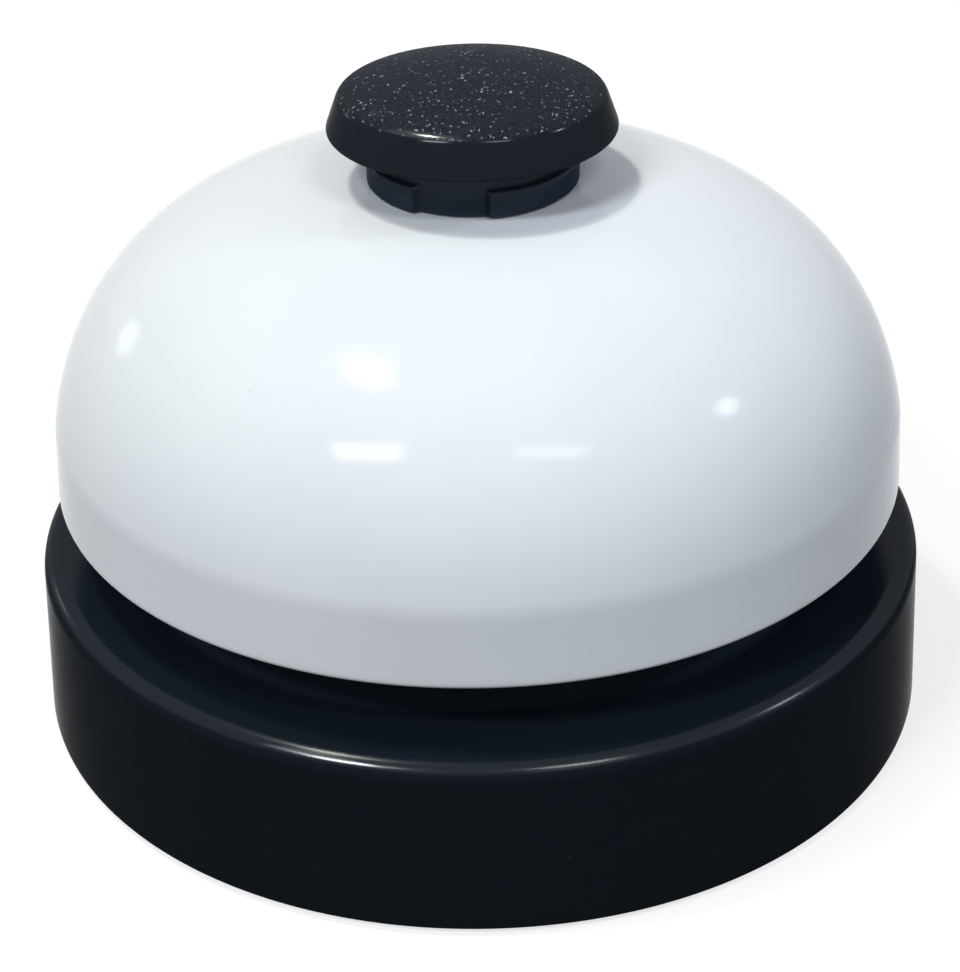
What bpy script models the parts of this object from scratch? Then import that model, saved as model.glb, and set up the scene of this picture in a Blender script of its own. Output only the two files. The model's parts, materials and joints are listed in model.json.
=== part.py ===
"""A counter service bell: moulded base, painted steel gong, push button and striking mechanism.

Metres, +Z up. The origin is on the ground below the middle of the base. The striker swings
towards +X. Every height is worked out upwards from the rubber feet.
"""

import math

import bmesh
import bpy
from mathutils import Matrix, Vector

# Clearances that all pieces share
SEAT_GAP = 0.0003
RUNNING_GAP = 0.00025
OVERRUN = 0.002
MERGE_DISTANCE = 0.000003

# Base housing: drafted wall, rounded rim, flat deck with a pocket for the hammer
BASE_DIAMETER = 0.085
BASE_DRAFT = 0.0007
BASE_HEIGHT = 0.0164
BASE_WALL = 0.0022
BASE_EDGE_CHAMFER = 0.0004
DECK_THICKNESS = 0.0022
RIM_FILLET = 0.0018
POCKET_DEPTH = 0.0034
POCKET_RADIUS = 0.0053
POCKET_WALL = 0.002
RIB_COUNT = 6
RIB_THICKNESS = 0.0015
RIB_DEPTH = 0.004
RIB_HUB_RADIUS = 0.006

# Bottom cover, its screws and the rubber feet
COVER_RECESS = 0.0015
COVER_THICKNESS = 0.0018
COVER_LIP_HEIGHT = 0.0014
COVER_LIP_WIDTH = 0.0016
COVER_SCREW_COUNT = 3
COVER_SCREW_INSET = 0.0185
FOOT_COUNT = 4
FOOT_INSET = 0.0125
FOOT_RADIUS = 0.005
FOOT_PROUD = 0.0006
FOOT_FILLET = 0.0005

# Self-tapping screws, the same below the cover and on the bracket's feet
SCREW_RADIUS = 0.0013
SCREW_HEAD_RADIUS = 0.0024
SCREW_HEAD_HEIGHT = 0.0011
SCREW_RECESS_WIDTH = 0.0006
SCREW_RECESS_DEPTH = 0.0005
SCREW_TIP = 0.0012
SCREW_BITE = 0.009
BOSS_WALL = 0.0018

# Gong: skirt, crease, dome and the flat land that the collar nut presses on
GONG_EDGE_GAP = 0.0063
GONG_EDGE_INSET = 0.0029
GONG_HEIGHT = 0.02785
GONG_WALL = 0.001
GONG_SKIRT_HEIGHT = 0.0069
GONG_DOME_BULGE = 0.00035
GONG_DOME_CENTRE_DROP = 0.00248
GONG_CROWN_CUT = 0.0006
GONG_LAND_EASE = 0.0005
GONG_SIDE_POWER = 0.6884
GONG_CROWN_POWER = 0.8061

# Support post, its nut and the washer under the gong
POST_THREAD_RADIUS = 0.005
POST_TUBE_RADIUS = 0.0065
POST_FLANGE_RADIUS = 0.008
POST_FLANGE_HEIGHT = 0.0018
POST_STAND = 0.0055
POST_NECK_RADIUS = 0.004
POST_SPRING_BORE_RADIUS = 0.004
POST_NECK_PROUD = 0.0002
POST_FLOOR = 0.0008
NUT_FLATS = 0.010
NUT_HEIGHT = 0.0026
NUT_CHAMFER = 0.0003
WASHER_RADIUS = 0.009
WASHER_THICKNESS = 0.001

# Collar nut: a ring with three wide ridges, notched between them for the fitting tool
COLLAR_HEIGHT = 0.0037
COLLAR_CORE_RADIUS = 0.0088
COLLAR_RIDGE_RADIUS = 0.00952
COLLAR_RIDGE_HEIGHT = 0.0023
COLLAR_RIDGE_COUNT = 3
COLLAR_RIDGE_ANGLE = math.radians(79)
COLLAR_FIRST_RIDGE = math.radians(47.3)
COLLAR_CHAMFER = 0.0003

# Push button: a hollow cap with a boss for the rod
BUTTON_TRAVEL = 0.0035
BUTTON_RADIUS = 0.0130
BUTTON_CROWN_RADIUS = 0.0118
BUTTON_CROWN_RISE = 0.0016
BUTTON_CROWN_POWER = 2.2
BUTTON_SIDE_HEIGHT = 0.00325
BUTTON_SHOULDER_FILLET = 0.0006
BUTTON_LIP_RADIUS = 0.0004
BUTTON_BORE_RADIUS = 0.0101
BUTTON_CROWN_WALL = 0.00235
BUTTON_BOSS_RADIUS = 0.0036
BUTTON_BOSS_LENGTH = 0.0034

# Plunger rod, its clip, the spring and the spring's washer
ROD_RADIUS = 0.002
ROD_GROOVE_RADIUS = 0.0014
ROD_TIP_RADIUS = 0.0015
ROD_TIP_LENGTH = 0.002
ROD_CHAMFER = 0.0004
CLIP_RADIUS = 0.0032
CLIP_THICKNESS = 0.0008
CLIP_MOUTH = math.radians(70)
SPRING_WIRE = 0.0006
SPRING_RADIUS = 0.003
SPRING_TURNS = 6
SPRING_WASHER_THICKNESS = 0.0006

# Striker bracket: a bent steel bridge
SHEET = 0.0016
BRACKET_INSIDE = 0.0124
BRACKET_FLANGE = 0.009
BRACKET_BEHIND = 0.007
BRACKET_AHEAD = 0.004
BEND_RADIUS = 0.001
WINDOW_SIDE = 0.0045
WINDOW_MARGIN = 0.002
WINDOW_CORNER_SHARE = 0.21
BRACKET_SCREW_INSET = 0.004

# Striker: pin, hub, short arm under the rod, long arm to the hammer
SHORT_ARM = 0.008
PUSH_GAP = 0.0004
PIN_RADIUS = 0.0012
PIN_HEAD_RADIUS = 0.0022
PIN_HEAD_HEIGHT = 0.0009
PIN_END = 0.0009
HUB_RADIUS = 0.0026
ARM_WIDTH = 0.005
ARM_HALF_DEPTH = 0.001
ARM_ROOT_HALF_DEPTH = 0.0017
ARM_END_HALF_DEPTH = 0.0012
ARM_BEND_RADIUS = 0.006
ELBOW_OUT_SHARE = 0.62
ELBOW_DOWN_SHARE = 0.3
STUD_RADIUS = 0.0012
STUD_LENGTH = 0.003
HAMMER_RADIUS = 0.0035
STRIKE_GAP = 0.0004
PAD_RADIUS = 0.004
PAD_THICKNESS = 0.001

# How finely round shapes are divided
LARGE_STEPS = 60
MEDIUM_STEPS = 40
SMALL_STEPS = 20
TINY_STEPS = 12
ARC_STEPS = 3

# Heights, from the ground up
housing_z = FOOT_PROUD
deck_z = housing_z + BASE_HEIGHT
deck_under_z = deck_z - DECK_THICKNESS
cover_z = housing_z + COVER_RECESS
cover_top_z = cover_z + COVER_THICKNESS
pocket_z = deck_z - POCKET_DEPTH
gong_edge_z = deck_z + GONG_EDGE_GAP
gong_land_z = gong_edge_z + GONG_HEIGHT
collar_z = gong_land_z + SEAT_GAP
collar_top_z = collar_z + COLLAR_HEIGHT
washer_top_z = gong_land_z - GONG_WALL - SEAT_GAP
flange_top_z = washer_top_z - WASHER_THICKNESS - SEAT_GAP
post_foot_z = flange_top_z - POST_STAND
plate_under_z = post_foot_z - SEAT_GAP - SHEET
nut_top_z = plate_under_z - SEAT_GAP
post_end_z = nut_top_z - NUT_HEIGHT - POST_NECK_PROUD
clip_top_z = post_end_z - SEAT_GAP
clip_z = clip_top_z - CLIP_THICKNESS
rod_tip_z = clip_z - ROD_TIP_LENGTH
pivot_z = rod_tip_z - PUSH_GAP - ARM_HALF_DEPTH
ceiling_z = collar_top_z + BUTTON_TRAVEL + SEAT_GAP
button_top_z = ceiling_z + BUTTON_CROWN_WALL
boss_end_z = ceiling_z - BUTTON_BOSS_LENGTH
spring_washer_z = boss_end_z - SEAT_GAP - SPRING_WASHER_THICKNESS
spring_top_z = spring_washer_z - SEAT_GAP
spring_bore_z = post_foot_z + POST_FLOOR
spring_foot_z = spring_bore_z + SEAT_GAP
hammer_z = pocket_z + SEAT_GAP + PAD_THICKNESS + SEAT_GAP + HAMMER_RADIUS
striker_swing = BUTTON_TRAVEL / SHORT_ARM


def clear_scene():
    for old in list(bpy.data.objects):
        bpy.data.objects.remove(old, do_unlink=True)


def new_collection(name):
    made = bpy.data.collections.new(name)
    bpy.context.scene.collection.children.link(made)
    return made


def new_material(name, colour, metallic, roughness):
    made = bpy.data.materials.new(name)
    made.use_nodes = True
    made.diffuse_color = (*colour, 1)
    shader = made.node_tree.nodes["Principled BSDF"]
    shader.inputs["Base Color"].default_value = (*colour, 1)
    shader.inputs["Metallic"].default_value = metallic
    shader.inputs["Roughness"].default_value = roughness
    return made


clear_scene()
PARTS = new_collection("service_bell")
CUTTERS = new_collection("cutters")
BLACK_GLOSS = new_material("black_gloss_plastic", (0.006, 0.007, 0.009), 0, 0.18)
BLACK_GRAIN = new_material("black_grained_plastic", (0.008, 0.009, 0.011), 0, 0.35)
WHITE_PAINT = new_material("white_gloss_paint", (0.86, 0.87, 0.9), 0, 0.15)
ZINC_STEEL = new_material("zinc_plated_steel", (0.62, 0.63, 0.64), 1, 0.35)
BRIGHT_STEEL = new_material("bright_steel", (0.7, 0.7, 0.71), 1, 0.22)
SPRING_STEEL = new_material("spring_steel", (0.5, 0.5, 0.52), 1, 0.3)
RUBBER = new_material("black_rubber", (0.02, 0.02, 0.02), 0, 0.8)
FIBRE = new_material("red_fibre", (0.25, 0.06, 0.04), 0, 0.7)
FELT = new_material("grey_felt", (0.2, 0.2, 0.21), 0, 0.95)


def place_in(obj, collection):
    for held in list(obj.users_collection):
        held.objects.unlink(obj)
    collection.objects.link(obj)


def as_part(obj, material):
    """Show the object as a named piece of the bell."""
    place_in(obj, PARTS)
    obj.data.materials.clear()
    obj.data.materials.append(material)
    return obj


def as_cutter(obj):
    """Keep the object as a shape that others are cut or joined with."""
    place_in(obj, CUTTERS)
    obj.hide_render = True
    obj.display_type = "WIRE"
    return obj


def mesh_object(name, mesh):
    obj = bpy.data.objects.new(name, mesh)
    CUTTERS.objects.link(obj)
    return obj


def combine(obj, other, operation):
    as_cutter(other)
    modifier = obj.modifiers.new(f"{operation.lower()}_{other.name}", "BOOLEAN")
    modifier.operation = operation
    modifier.solver = "EXACT"
    modifier.object = other


def cut(obj, other):
    combine(obj, other, "DIFFERENCE")


def join(obj, other):
    combine(obj, other, "UNION")


def turned(name, profile, steps, ring=False):
    """A profile of (radius, height) points, top to bottom on its outer side, turned about Z."""
    mesh = bpy.data.meshes.new(name)
    edges = [(i, i + 1) for i in range(len(profile) - 1)]
    if ring:
        edges.append((len(profile) - 1, 0))
    mesh.from_pydata([(r, 0, z) for r, z in profile], edges, [])
    obj = mesh_object(name, mesh)
    screw = obj.modifiers.new("turn", "SCREW")
    screw.axis = "Z"
    screw.angle = 2 * math.pi
    screw.steps = steps
    screw.render_steps = steps
    screw.use_merge_vertices = True
    screw.merge_threshold = MERGE_DISTANCE
    screw.use_smooth_shade = True
    return obj


def cylinder(name, radius, low_z, high_z, steps, centre=(0, 0)):
    """A plain round bar along Z."""
    mesh = bpy.data.meshes.new(name)
    shape = bmesh.new()
    middle = Matrix.Translation((centre[0], centre[1], (low_z + high_z) / 2))
    bmesh.ops.create_cone(shape, cap_ends=True, segments=steps, radius1=radius,
                          radius2=radius, depth=high_z - low_z, matrix=middle)
    shape.to_mesh(mesh)
    shape.free()
    return mesh_object(name, mesh)


def block(name, size, centre, turn=0):
    """A plain box, turned about Z."""
    mesh = bpy.data.meshes.new(name)
    shape = bmesh.new()
    matrix = Matrix.Translation(centre) @ Matrix.Rotation(turn, 4, "Z") @ Matrix.Diagonal((*size, 1))
    bmesh.ops.create_cube(shape, size=1, matrix=matrix)
    shape.to_mesh(mesh)
    shape.free()
    return mesh_object(name, mesh)


def plate(name, outline, thickness):
    """A flat outline of (x, y) points, its thickness centred on Z = 0."""
    curve = bpy.data.curves.new(name, "CURVE")
    curve.dimensions = "2D"
    curve.fill_mode = "BOTH"
    curve.extrude = thickness / 2
    spline = curve.splines.new("POLY")
    spline.points.add(len(outline) - 1)
    for point, (x, y) in zip(spline.points, outline):
        point.co = (x, y, 0, 1)
    spline.use_cyclic_u = True
    flat = bpy.data.objects.new(name + "_outline", curve)
    CUTTERS.objects.link(flat)
    graph = bpy.context.evaluated_depsgraph_get()
    mesh = bpy.data.meshes.new_from_object(flat.evaluated_get(graph))
    bpy.data.objects.remove(flat)
    shape = bmesh.new()
    shape.from_mesh(mesh)
    bmesh.ops.remove_doubles(shape, verts=shape.verts, dist=MERGE_DISTANCE)
    bmesh.ops.recalc_face_normals(shape, faces=shape.faces)
    shape.to_mesh(mesh)
    shape.free()
    mesh.name = name
    return mesh_object(name, mesh)


def arc(centre, radius, start, end, steps):
    """Points on a circle, from one angle to another."""
    turn = (end - start) / steps
    return [(centre[0] + radius * math.cos(start + i * turn),
             centre[1] + radius * math.sin(start + i * turn)) for i in range(steps + 1)]


def rounded_path(points, radii):
    """A path through points, with each inner corner rounded to its radius."""
    path = [points[0]]
    for before, corner, after, radius in zip(points, points[1:], points[2:], radii):
        corner = Vector(corner)
        back = (Vector(before) - corner).normalized()
        ahead = (Vector(after) - corner).normalized()
        half = back.angle(ahead) / 2
        reach = radius / math.tan(half)
        first = corner + back * reach
        last = corner + ahead * reach
        middle = corner + (back + ahead).normalized() * (radius / math.sin(half))
        swept = (first - middle).angle_signed(last - middle)
        for i in range(ARC_STEPS + 1):
            spoke = (first - middle).copy()
            spoke.rotate(Matrix.Rotation(-swept * i / ARC_STEPS, 2))
            path.append(tuple(middle + spoke))
    path.append(points[-1])
    return path


def offset_path(path, distances):
    """The path moved to its left by a distance at each point."""
    moved = []
    for i, point in enumerate(path):
        before = Vector(path[max(i - 1, 0)])
        after = Vector(path[min(i + 1, len(path) - 1)])
        along = (after - before).normalized()
        moved.append((point[0] - along.y * distances[i], point[1] + along.x * distances[i]))
    return moved


def around(count, radius, start=0.0):
    """Places spaced evenly on a circle."""
    return [(radius * math.cos(start + 2 * math.pi * i / count),
             radius * math.sin(start + 2 * math.pi * i / count)) for i in range(count)]


def sharpen(obj):
    """Shade the piece smooth, with its real edges sharp."""
    obj.data.shade_smooth()
    obj.data.set_sharp_from_angle(angle=math.radians(35))


# The base housing

base_radius = BASE_DIAMETER / 2
base_top_radius = base_radius - BASE_DRAFT
draft = BASE_DRAFT / (BASE_HEIGHT - RIM_FILLET)
cover_radius = base_radius - COVER_RECESS * draft - BASE_WALL - SEAT_GAP
boss_radius = SCREW_RADIUS + SEAT_GAP + BOSS_WALL
cover_screw_places = around(COVER_SCREW_COUNT, base_radius - COVER_SCREW_INSET, math.pi / 2)
flange_y = BRACKET_INSIDE / 2 + SHEET + BRACKET_FLANGE - BRACKET_SCREW_INSET
bracket_front_x = SHORT_ARM + BRACKET_AHEAD
bracket_screw_places = [(x, y) for x in (BRACKET_SCREW_INSET - BRACKET_BEHIND,
                                         bracket_front_x - BRACKET_SCREW_INSET)
                        for y in (-flange_y, flange_y)]
gong_edge_radius = base_radius - GONG_EDGE_INSET
gong_dome_radius = gong_edge_radius + GONG_DOME_BULGE
gong_dome_rise = GONG_HEIGHT + GONG_DOME_CENTRE_DROP + GONG_CROWN_CUT


def gong_outline():
    """The gong's outer side from the post hole out and down: land, dome, crease, skirt."""
    centre_z = gong_edge_z - GONG_DOME_CENTRE_DROP

    def dome_angle(z):
        return math.asin(((z - centre_z) / gong_dome_rise) ** (1 / GONG_CROWN_POWER))

    def dome_point(angle):
        return (gong_dome_radius * math.cos(angle) ** GONG_SIDE_POWER,
                centre_z + gong_dome_rise * math.sin(angle) ** GONG_CROWN_POWER)

    top = dome_angle(gong_land_z - GONG_LAND_EASE)
    bottom = dome_angle(gong_edge_z + GONG_SKIRT_HEIGHT)
    count = 11
    dome = [dome_point(top + (bottom - top) * (i / count)) for i in range(count + 1)]
    start, following = dome[0], dome[1]
    slope = (following[1] - start[1]) / (following[0] - start[0])
    corner_radius = start[0] + (gong_land_z - start[1]) / slope
    land_radius = 2 * corner_radius - start[0]
    ease = []
    for i in range(ARC_STEPS):
        t = i / ARC_STEPS
        ease.append(((1 - t) ** 2 * land_radius + 2 * t * (1 - t) * corner_radius + t * t * start[0],
                     gong_land_z - t * t * (gong_land_z - start[1])))
    crease_radius, crease_z = dome[-1]
    skirt_middle = ((crease_radius + gong_edge_radius) / 2, (crease_z + gong_edge_z) / 2)
    return [(POST_THREAD_RADIUS + SEAT_GAP, gong_land_z), *ease, *dome, skirt_middle,
            (gong_edge_radius, gong_edge_z)]


def gong_inner_radius(z):
    """How far the gong's inner side lies from the axis at a height."""
    outline = gong_outline()
    inside = offset_path(outline, [-GONG_WALL] * len(outline))
    for (r_high, z_high), (r_low, z_low) in zip(inside, inside[1:]):
        if z_low <= z <= z_high and z_high > z_low:
            return r_low + (r_high - r_low) * (z - z_low) / (z_high - z_low)
    return inside[-1][0]


def hammer_reach():
    """The hammer's distance out from the pivot at rest, so that it just reaches the gong."""
    drop = pivot_z - hammer_z
    near = HAMMER_RADIUS
    far = gong_dome_radius
    for _ in range(60):
        out = (near + far) / 2
        swung = math.atan2(-drop, out) + striker_swing
        length = math.hypot(drop, out)
        x = SHORT_ARM + length * math.cos(swung)
        z = pivot_z + length * math.sin(swung)
        if x + HAMMER_RADIUS + STRIKE_GAP > gong_inner_radius(z):
            far = out
        else:
            near = out
    return (near + far) / 2


hammer_out = hammer_reach()
hammer_x = SHORT_ARM + hammer_out


def make_base_housing():
    rim = arc((base_top_radius - RIM_FILLET, deck_z - RIM_FILLET), RIM_FILLET, math.pi / 2, 0, 6)
    inner_top = base_top_radius - BASE_WALL
    profile = [
        (0, deck_z),
        *rim,
        (base_radius, housing_z + BASE_EDGE_CHAMFER),
        (base_radius - BASE_EDGE_CHAMFER, housing_z),
        (base_radius - BASE_WALL, housing_z),
        (inner_top, deck_under_z - BASE_EDGE_CHAMFER),
        (inner_top - BASE_EDGE_CHAMFER, deck_under_z),
        (0, deck_under_z),
    ]
    housing = as_part(turned("base_housing", profile, LARGE_STEPS), BLACK_GLOSS)
    buried_z = deck_under_z + DECK_THICKNESS / 2
    pocket_radius = POCKET_RADIUS + POCKET_WALL
    join(housing, cylinder("pocket_boss", pocket_radius, pocket_z - POCKET_WALL, buried_z,
                           SMALL_STEPS, (hammer_x, 0)))
    rib_length = base_top_radius - BASE_WALL / 2 - RIB_HUB_RADIUS
    for i, (x, y) in enumerate(around(RIB_COUNT, RIB_HUB_RADIUS + rib_length / 2, math.pi / RIB_COUNT)):
        height = RIB_DEPTH + DECK_THICKNESS / 2
        rib = block(f"deck_rib_{i + 1}", (rib_length, RIB_THICKNESS, height),
                    (x, y, buried_z - height / 2), math.atan2(y, x))
        join(housing, rib)
    for i, place in enumerate(cover_screw_places):
        join(housing, cylinder(f"cover_boss_{i + 1}", boss_radius, cover_top_z + SEAT_GAP, buried_z,
                               TINY_STEPS, place))
    bracket_boss_z = deck_z - SCREW_BITE - BOSS_WALL
    for i, place in enumerate(bracket_screw_places):
        join(housing, cylinder(f"bracket_boss_{i + 1}", boss_radius, bracket_boss_z, buried_z,
                               TINY_STEPS, place))
    cut(housing, cylinder("pocket", POCKET_RADIUS, pocket_z, deck_z + OVERRUN, SMALL_STEPS,
                          (hammer_x, 0)))
    hole_radius = SCREW_RADIUS + SEAT_GAP
    cover_hole_end = cover_top_z + SCREW_BITE
    for i, place in enumerate(cover_screw_places):
        cut(housing, cylinder(f"cover_hole_{i + 1}", hole_radius, cover_z, cover_hole_end,
                              TINY_STEPS, place))
    for i, place in enumerate(bracket_screw_places):
        cut(housing, cylinder(f"bracket_hole_{i + 1}", hole_radius, deck_z - SCREW_BITE,
                              deck_z + OVERRUN, TINY_STEPS, place))
    sharpen(housing)


# The bottom cover, its screws and the feet

def make_bottom_cover():
    lip_z = cover_top_z + COVER_LIP_HEIGHT
    profile = [
        (0, cover_top_z),
        (cover_radius - COVER_LIP_WIDTH, cover_top_z),
        (cover_radius - COVER_LIP_WIDTH, lip_z),
        (cover_radius, lip_z),
        (cover_radius, cover_z),
        (0, cover_z),
    ]
    cover = as_part(turned("bottom_cover", profile, LARGE_STEPS), BLACK_GLOSS)
    for i, place in enumerate(cover_screw_places):
        cut(cover, cylinder(f"cover_clearance_{i + 1}", SCREW_RADIUS + SEAT_GAP,
                            cover_z - OVERRUN, cover_top_z + OVERRUN, TINY_STEPS, place))
    sharpen(cover)


def screw_shape(name, length):
    """A pan-head screw that points down, with the underside of its head at Z = 0."""
    dome = [(SCREW_HEAD_RADIUS * math.cos(t), SCREW_HEAD_HEIGHT * math.sin(t))
            for t in (math.pi / 2 * i / ARC_STEPS for i in range(ARC_STEPS, -1, -1))]
    profile = [(0, SCREW_HEAD_HEIGHT), *dome[1:], (SCREW_RADIUS, 0),
               (SCREW_RADIUS, SCREW_TIP - length), (0, -length)]
    screw = turned(name, profile, TINY_STEPS)
    slot = (SCREW_HEAD_RADIUS, SCREW_RECESS_WIDTH, 2 * SCREW_RECESS_DEPTH)
    for quarter in (0, math.pi / 2):
        cut(screw, block(f"{name}_recess", slot, (0, 0, SCREW_HEAD_HEIGHT), quarter))
    return screw


def make_cover_screws():
    length = COVER_THICKNESS + SCREW_BITE - SEAT_GAP
    for i, (x, y) in enumerate(cover_screw_places):
        screw = as_part(screw_shape(f"cover_screw_{i + 1}", length), ZINC_STEEL)
        upside_down = Matrix.Rotation(math.pi, 4, "X")
        place = Matrix.Translation((x, y, cover_z - SEAT_GAP))
        settle(screw, place @ upside_down)


def make_bracket_screws():
    length = SHEET + SCREW_BITE
    head_z = deck_z + SEAT_GAP + SHEET + SEAT_GAP
    for i, (x, y) in enumerate(bracket_screw_places):
        screw = as_part(screw_shape(f"bracket_screw_{i + 1}", length), ZINC_STEEL)
        settle(screw, Matrix.Translation((x, y, head_z)))


def settle(obj, matrix):
    """Place a piece, with the shapes that cut it moving along."""
    obj.matrix_world = matrix
    for modifier in obj.modifiers:
        if modifier.type == "BOOLEAN":
            modifier.object.matrix_world = matrix


def make_rubber_feet():
    top_z = cover_z - SEAT_GAP
    fillet = arc((FOOT_RADIUS - FOOT_FILLET, FOOT_FILLET), FOOT_FILLET, 0, -math.pi / 2, ARC_STEPS)
    profile = [(0, top_z), (FOOT_RADIUS, top_z), *fillet, (0, 0)]
    for i, (x, y) in enumerate(around(FOOT_COUNT, base_radius - FOOT_INSET, math.pi / FOOT_COUNT)):
        foot = as_part(turned(f"rubber_foot_{i + 1}", profile, SMALL_STEPS), RUBBER)
        foot.location = (x, y, 0)


# The striker bracket and the support post

def make_striker_bracket():
    half = BRACKET_INSIDE / 2
    foot_y = half + SHEET + BRACKET_FLANGE
    foot_z = deck_z + SEAT_GAP
    corners = [(-foot_y, foot_z), (-half, foot_z), (-half, plate_under_z),
               (half, plate_under_z), (half, foot_z), (foot_y, foot_z)]
    foot_bend = BEND_RADIUS + SHEET
    path = rounded_path(corners, [foot_bend, BEND_RADIUS, BEND_RADIUS, foot_bend])
    count = len(path)
    ends = (-BRACKET_BEHIND, bracket_front_x)
    points = [(x, y, z) for x in ends for y, z in path]
    faces = [(i, count + i, count + i + 1, i + 1) for i in range(count - 1)]
    mesh = bpy.data.meshes.new("striker_bracket")
    mesh.from_pydata(points, [], faces)
    bracket = as_part(mesh_object("striker_bracket", mesh), ZINC_STEEL)
    solidify = bracket.modifiers.new("sheet", "SOLIDIFY")
    solidify.thickness = SHEET
    solidify.offset = 1
    solidify.use_even_offset = True
    cut(bracket, cylinder("post_hole", POST_NECK_RADIUS + SEAT_GAP, plate_under_z - OVERRUN,
                          plate_under_z + SHEET + OVERRUN, SMALL_STEPS))
    hole_radius = SCREW_RADIUS + SEAT_GAP
    for i, place in enumerate(bracket_screw_places):
        cut(bracket, cylinder(f"foot_hole_{i + 1}", hole_radius, foot_z - OVERRUN,
                              foot_z + SHEET + OVERRUN, TINY_STEPS, place))
    reach = half + SHEET + OVERRUN
    pin_hole = cylinder("pin_hole", PIN_RADIUS + SEAT_GAP, -reach, reach, TINY_STEPS)
    pin_hole.matrix_world = Matrix.Translation((SHORT_ARM, 0, pivot_z)) @ Matrix.Rotation(math.pi / 2, 4, "X")
    cut(bracket, pin_hole)
    low = foot_z + foot_bend + WINDOW_MARGIN
    high = pivot_z - HUB_RADIUS - WINDOW_MARGIN
    left = WINDOW_SIDE - BRACKET_BEHIND
    right = bracket_front_x - WINDOW_SIDE
    corner = WINDOW_CORNER_SHARE * min(high - low, right - left)
    outline = []
    for x, z, start in ((right, high, 0), (left, high, 1), (left, low, 2), (right, low, 3)):
        inward_x = -corner if x == right else corner
        inward_z = -corner if z == high else corner
        outline += arc((x + inward_x, z + inward_z), corner, start * math.pi / 2,
                       (start + 1) * math.pi / 2, ARC_STEPS)
    window = plate("leg_window", outline, 2 * reach)
    window.matrix_world = Matrix.Rotation(math.pi / 2, 4, "X")
    cut(bracket, window)
    sharpen(bracket)


def make_support_post():
    top_z = collar_top_z - SEAT_GAP
    chamfer = ROD_CHAMFER
    profile = [
        (POST_SPRING_BORE_RADIUS, top_z),
        (POST_THREAD_RADIUS - chamfer, top_z),
        (POST_THREAD_RADIUS, top_z - chamfer),
        (POST_THREAD_RADIUS, flange_top_z),
        (POST_FLANGE_RADIUS, flange_top_z),
        (POST_FLANGE_RADIUS, flange_top_z - POST_FLANGE_HEIGHT),
        (POST_TUBE_RADIUS, flange_top_z - POST_FLANGE_HEIGHT - chamfer),
        (POST_TUBE_RADIUS, post_foot_z),
        (POST_NECK_RADIUS, post_foot_z),
        (POST_NECK_RADIUS, post_end_z),
        (ROD_RADIUS + RUNNING_GAP, post_end_z),
        (ROD_RADIUS + RUNNING_GAP, spring_bore_z),
        (POST_SPRING_BORE_RADIUS, spring_bore_z),
    ]
    post = as_part(turned("support_post", profile, SMALL_STEPS, ring=True), BRIGHT_STEEL)
    sharpen(post)


def make_post_nut():
    low_z = nut_top_z - NUT_HEIGHT
    nut = as_part(cylinder("post_nut", NUT_FLATS / math.sqrt(3), low_z, nut_top_z, 6), ZINC_STEEL)
    cut(nut, cylinder("nut_hole", POST_NECK_RADIUS + SEAT_GAP, low_z - OVERRUN,
                      nut_top_z + OVERRUN, SMALL_STEPS))
    bevel = nut.modifiers.new("chamfer", "BEVEL")
    bevel.width = NUT_CHAMFER
    bevel.segments = 1
    bevel.limit_method = "ANGLE"
    bevel.angle_limit = math.radians(80)


def make_gong_seat_washer():
    bore = POST_THREAD_RADIUS + SEAT_GAP
    low_z = washer_top_z - WASHER_THICKNESS
    profile = [(bore, washer_top_z), (WASHER_RADIUS, washer_top_z), (WASHER_RADIUS, low_z),
               (bore, low_z)]
    as_part(turned("gong_seat_washer", profile, SMALL_STEPS, ring=True), FIBRE)


# The gong and its collar nut

def make_gong():
    gong = as_part(turned("gong", gong_outline(), LARGE_STEPS), WHITE_PAINT)
    solidify = gong.modifiers.new("sheet", "SOLIDIFY")
    solidify.thickness = GONG_WALL
    solidify.offset = -1
    solidify.use_even_offset = True


def make_collar_nut():
    bore = POST_THREAD_RADIUS + SEAT_GAP
    ridge_top_z = collar_z + COLLAR_RIDGE_HEIGHT
    profile = [
        (bore, collar_top_z),
        (COLLAR_CORE_RADIUS - COLLAR_CHAMFER, collar_top_z),
        (COLLAR_CORE_RADIUS, collar_top_z - COLLAR_CHAMFER),
        (COLLAR_CORE_RADIUS, collar_z),
        (bore, collar_z),
    ]
    collar = as_part(turned("collar_nut", profile, 2 * SMALL_STEPS, ring=True), BLACK_GLOSS)
    buried = (COLLAR_CORE_RADIUS + bore) / 2
    for i in range(COLLAR_RIDGE_COUNT):
        middle = -math.pi / 2 + COLLAR_FIRST_RIDGE + 2 * math.pi * i / COLLAR_RIDGE_COUNT
        start = middle - COLLAR_RIDGE_ANGLE / 2
        end = middle + COLLAR_RIDGE_ANGLE / 2
        outline = arc((0, 0), COLLAR_RIDGE_RADIUS, start, end, 4 * ARC_STEPS)
        outline += arc((0, 0), buried, end, start, ARC_STEPS)
        ridge = plate(f"ridge_{i + 1}", outline, COLLAR_RIDGE_HEIGHT)
        ridge.location.z = (collar_z + ridge_top_z) / 2
        join(collar, ridge)
    sharpen(collar)


# The push button and what moves with it

def make_button_axis():
    axis = bpy.data.objects.new("button_axis", None)
    PARTS.objects.link(axis)
    return axis


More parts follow.
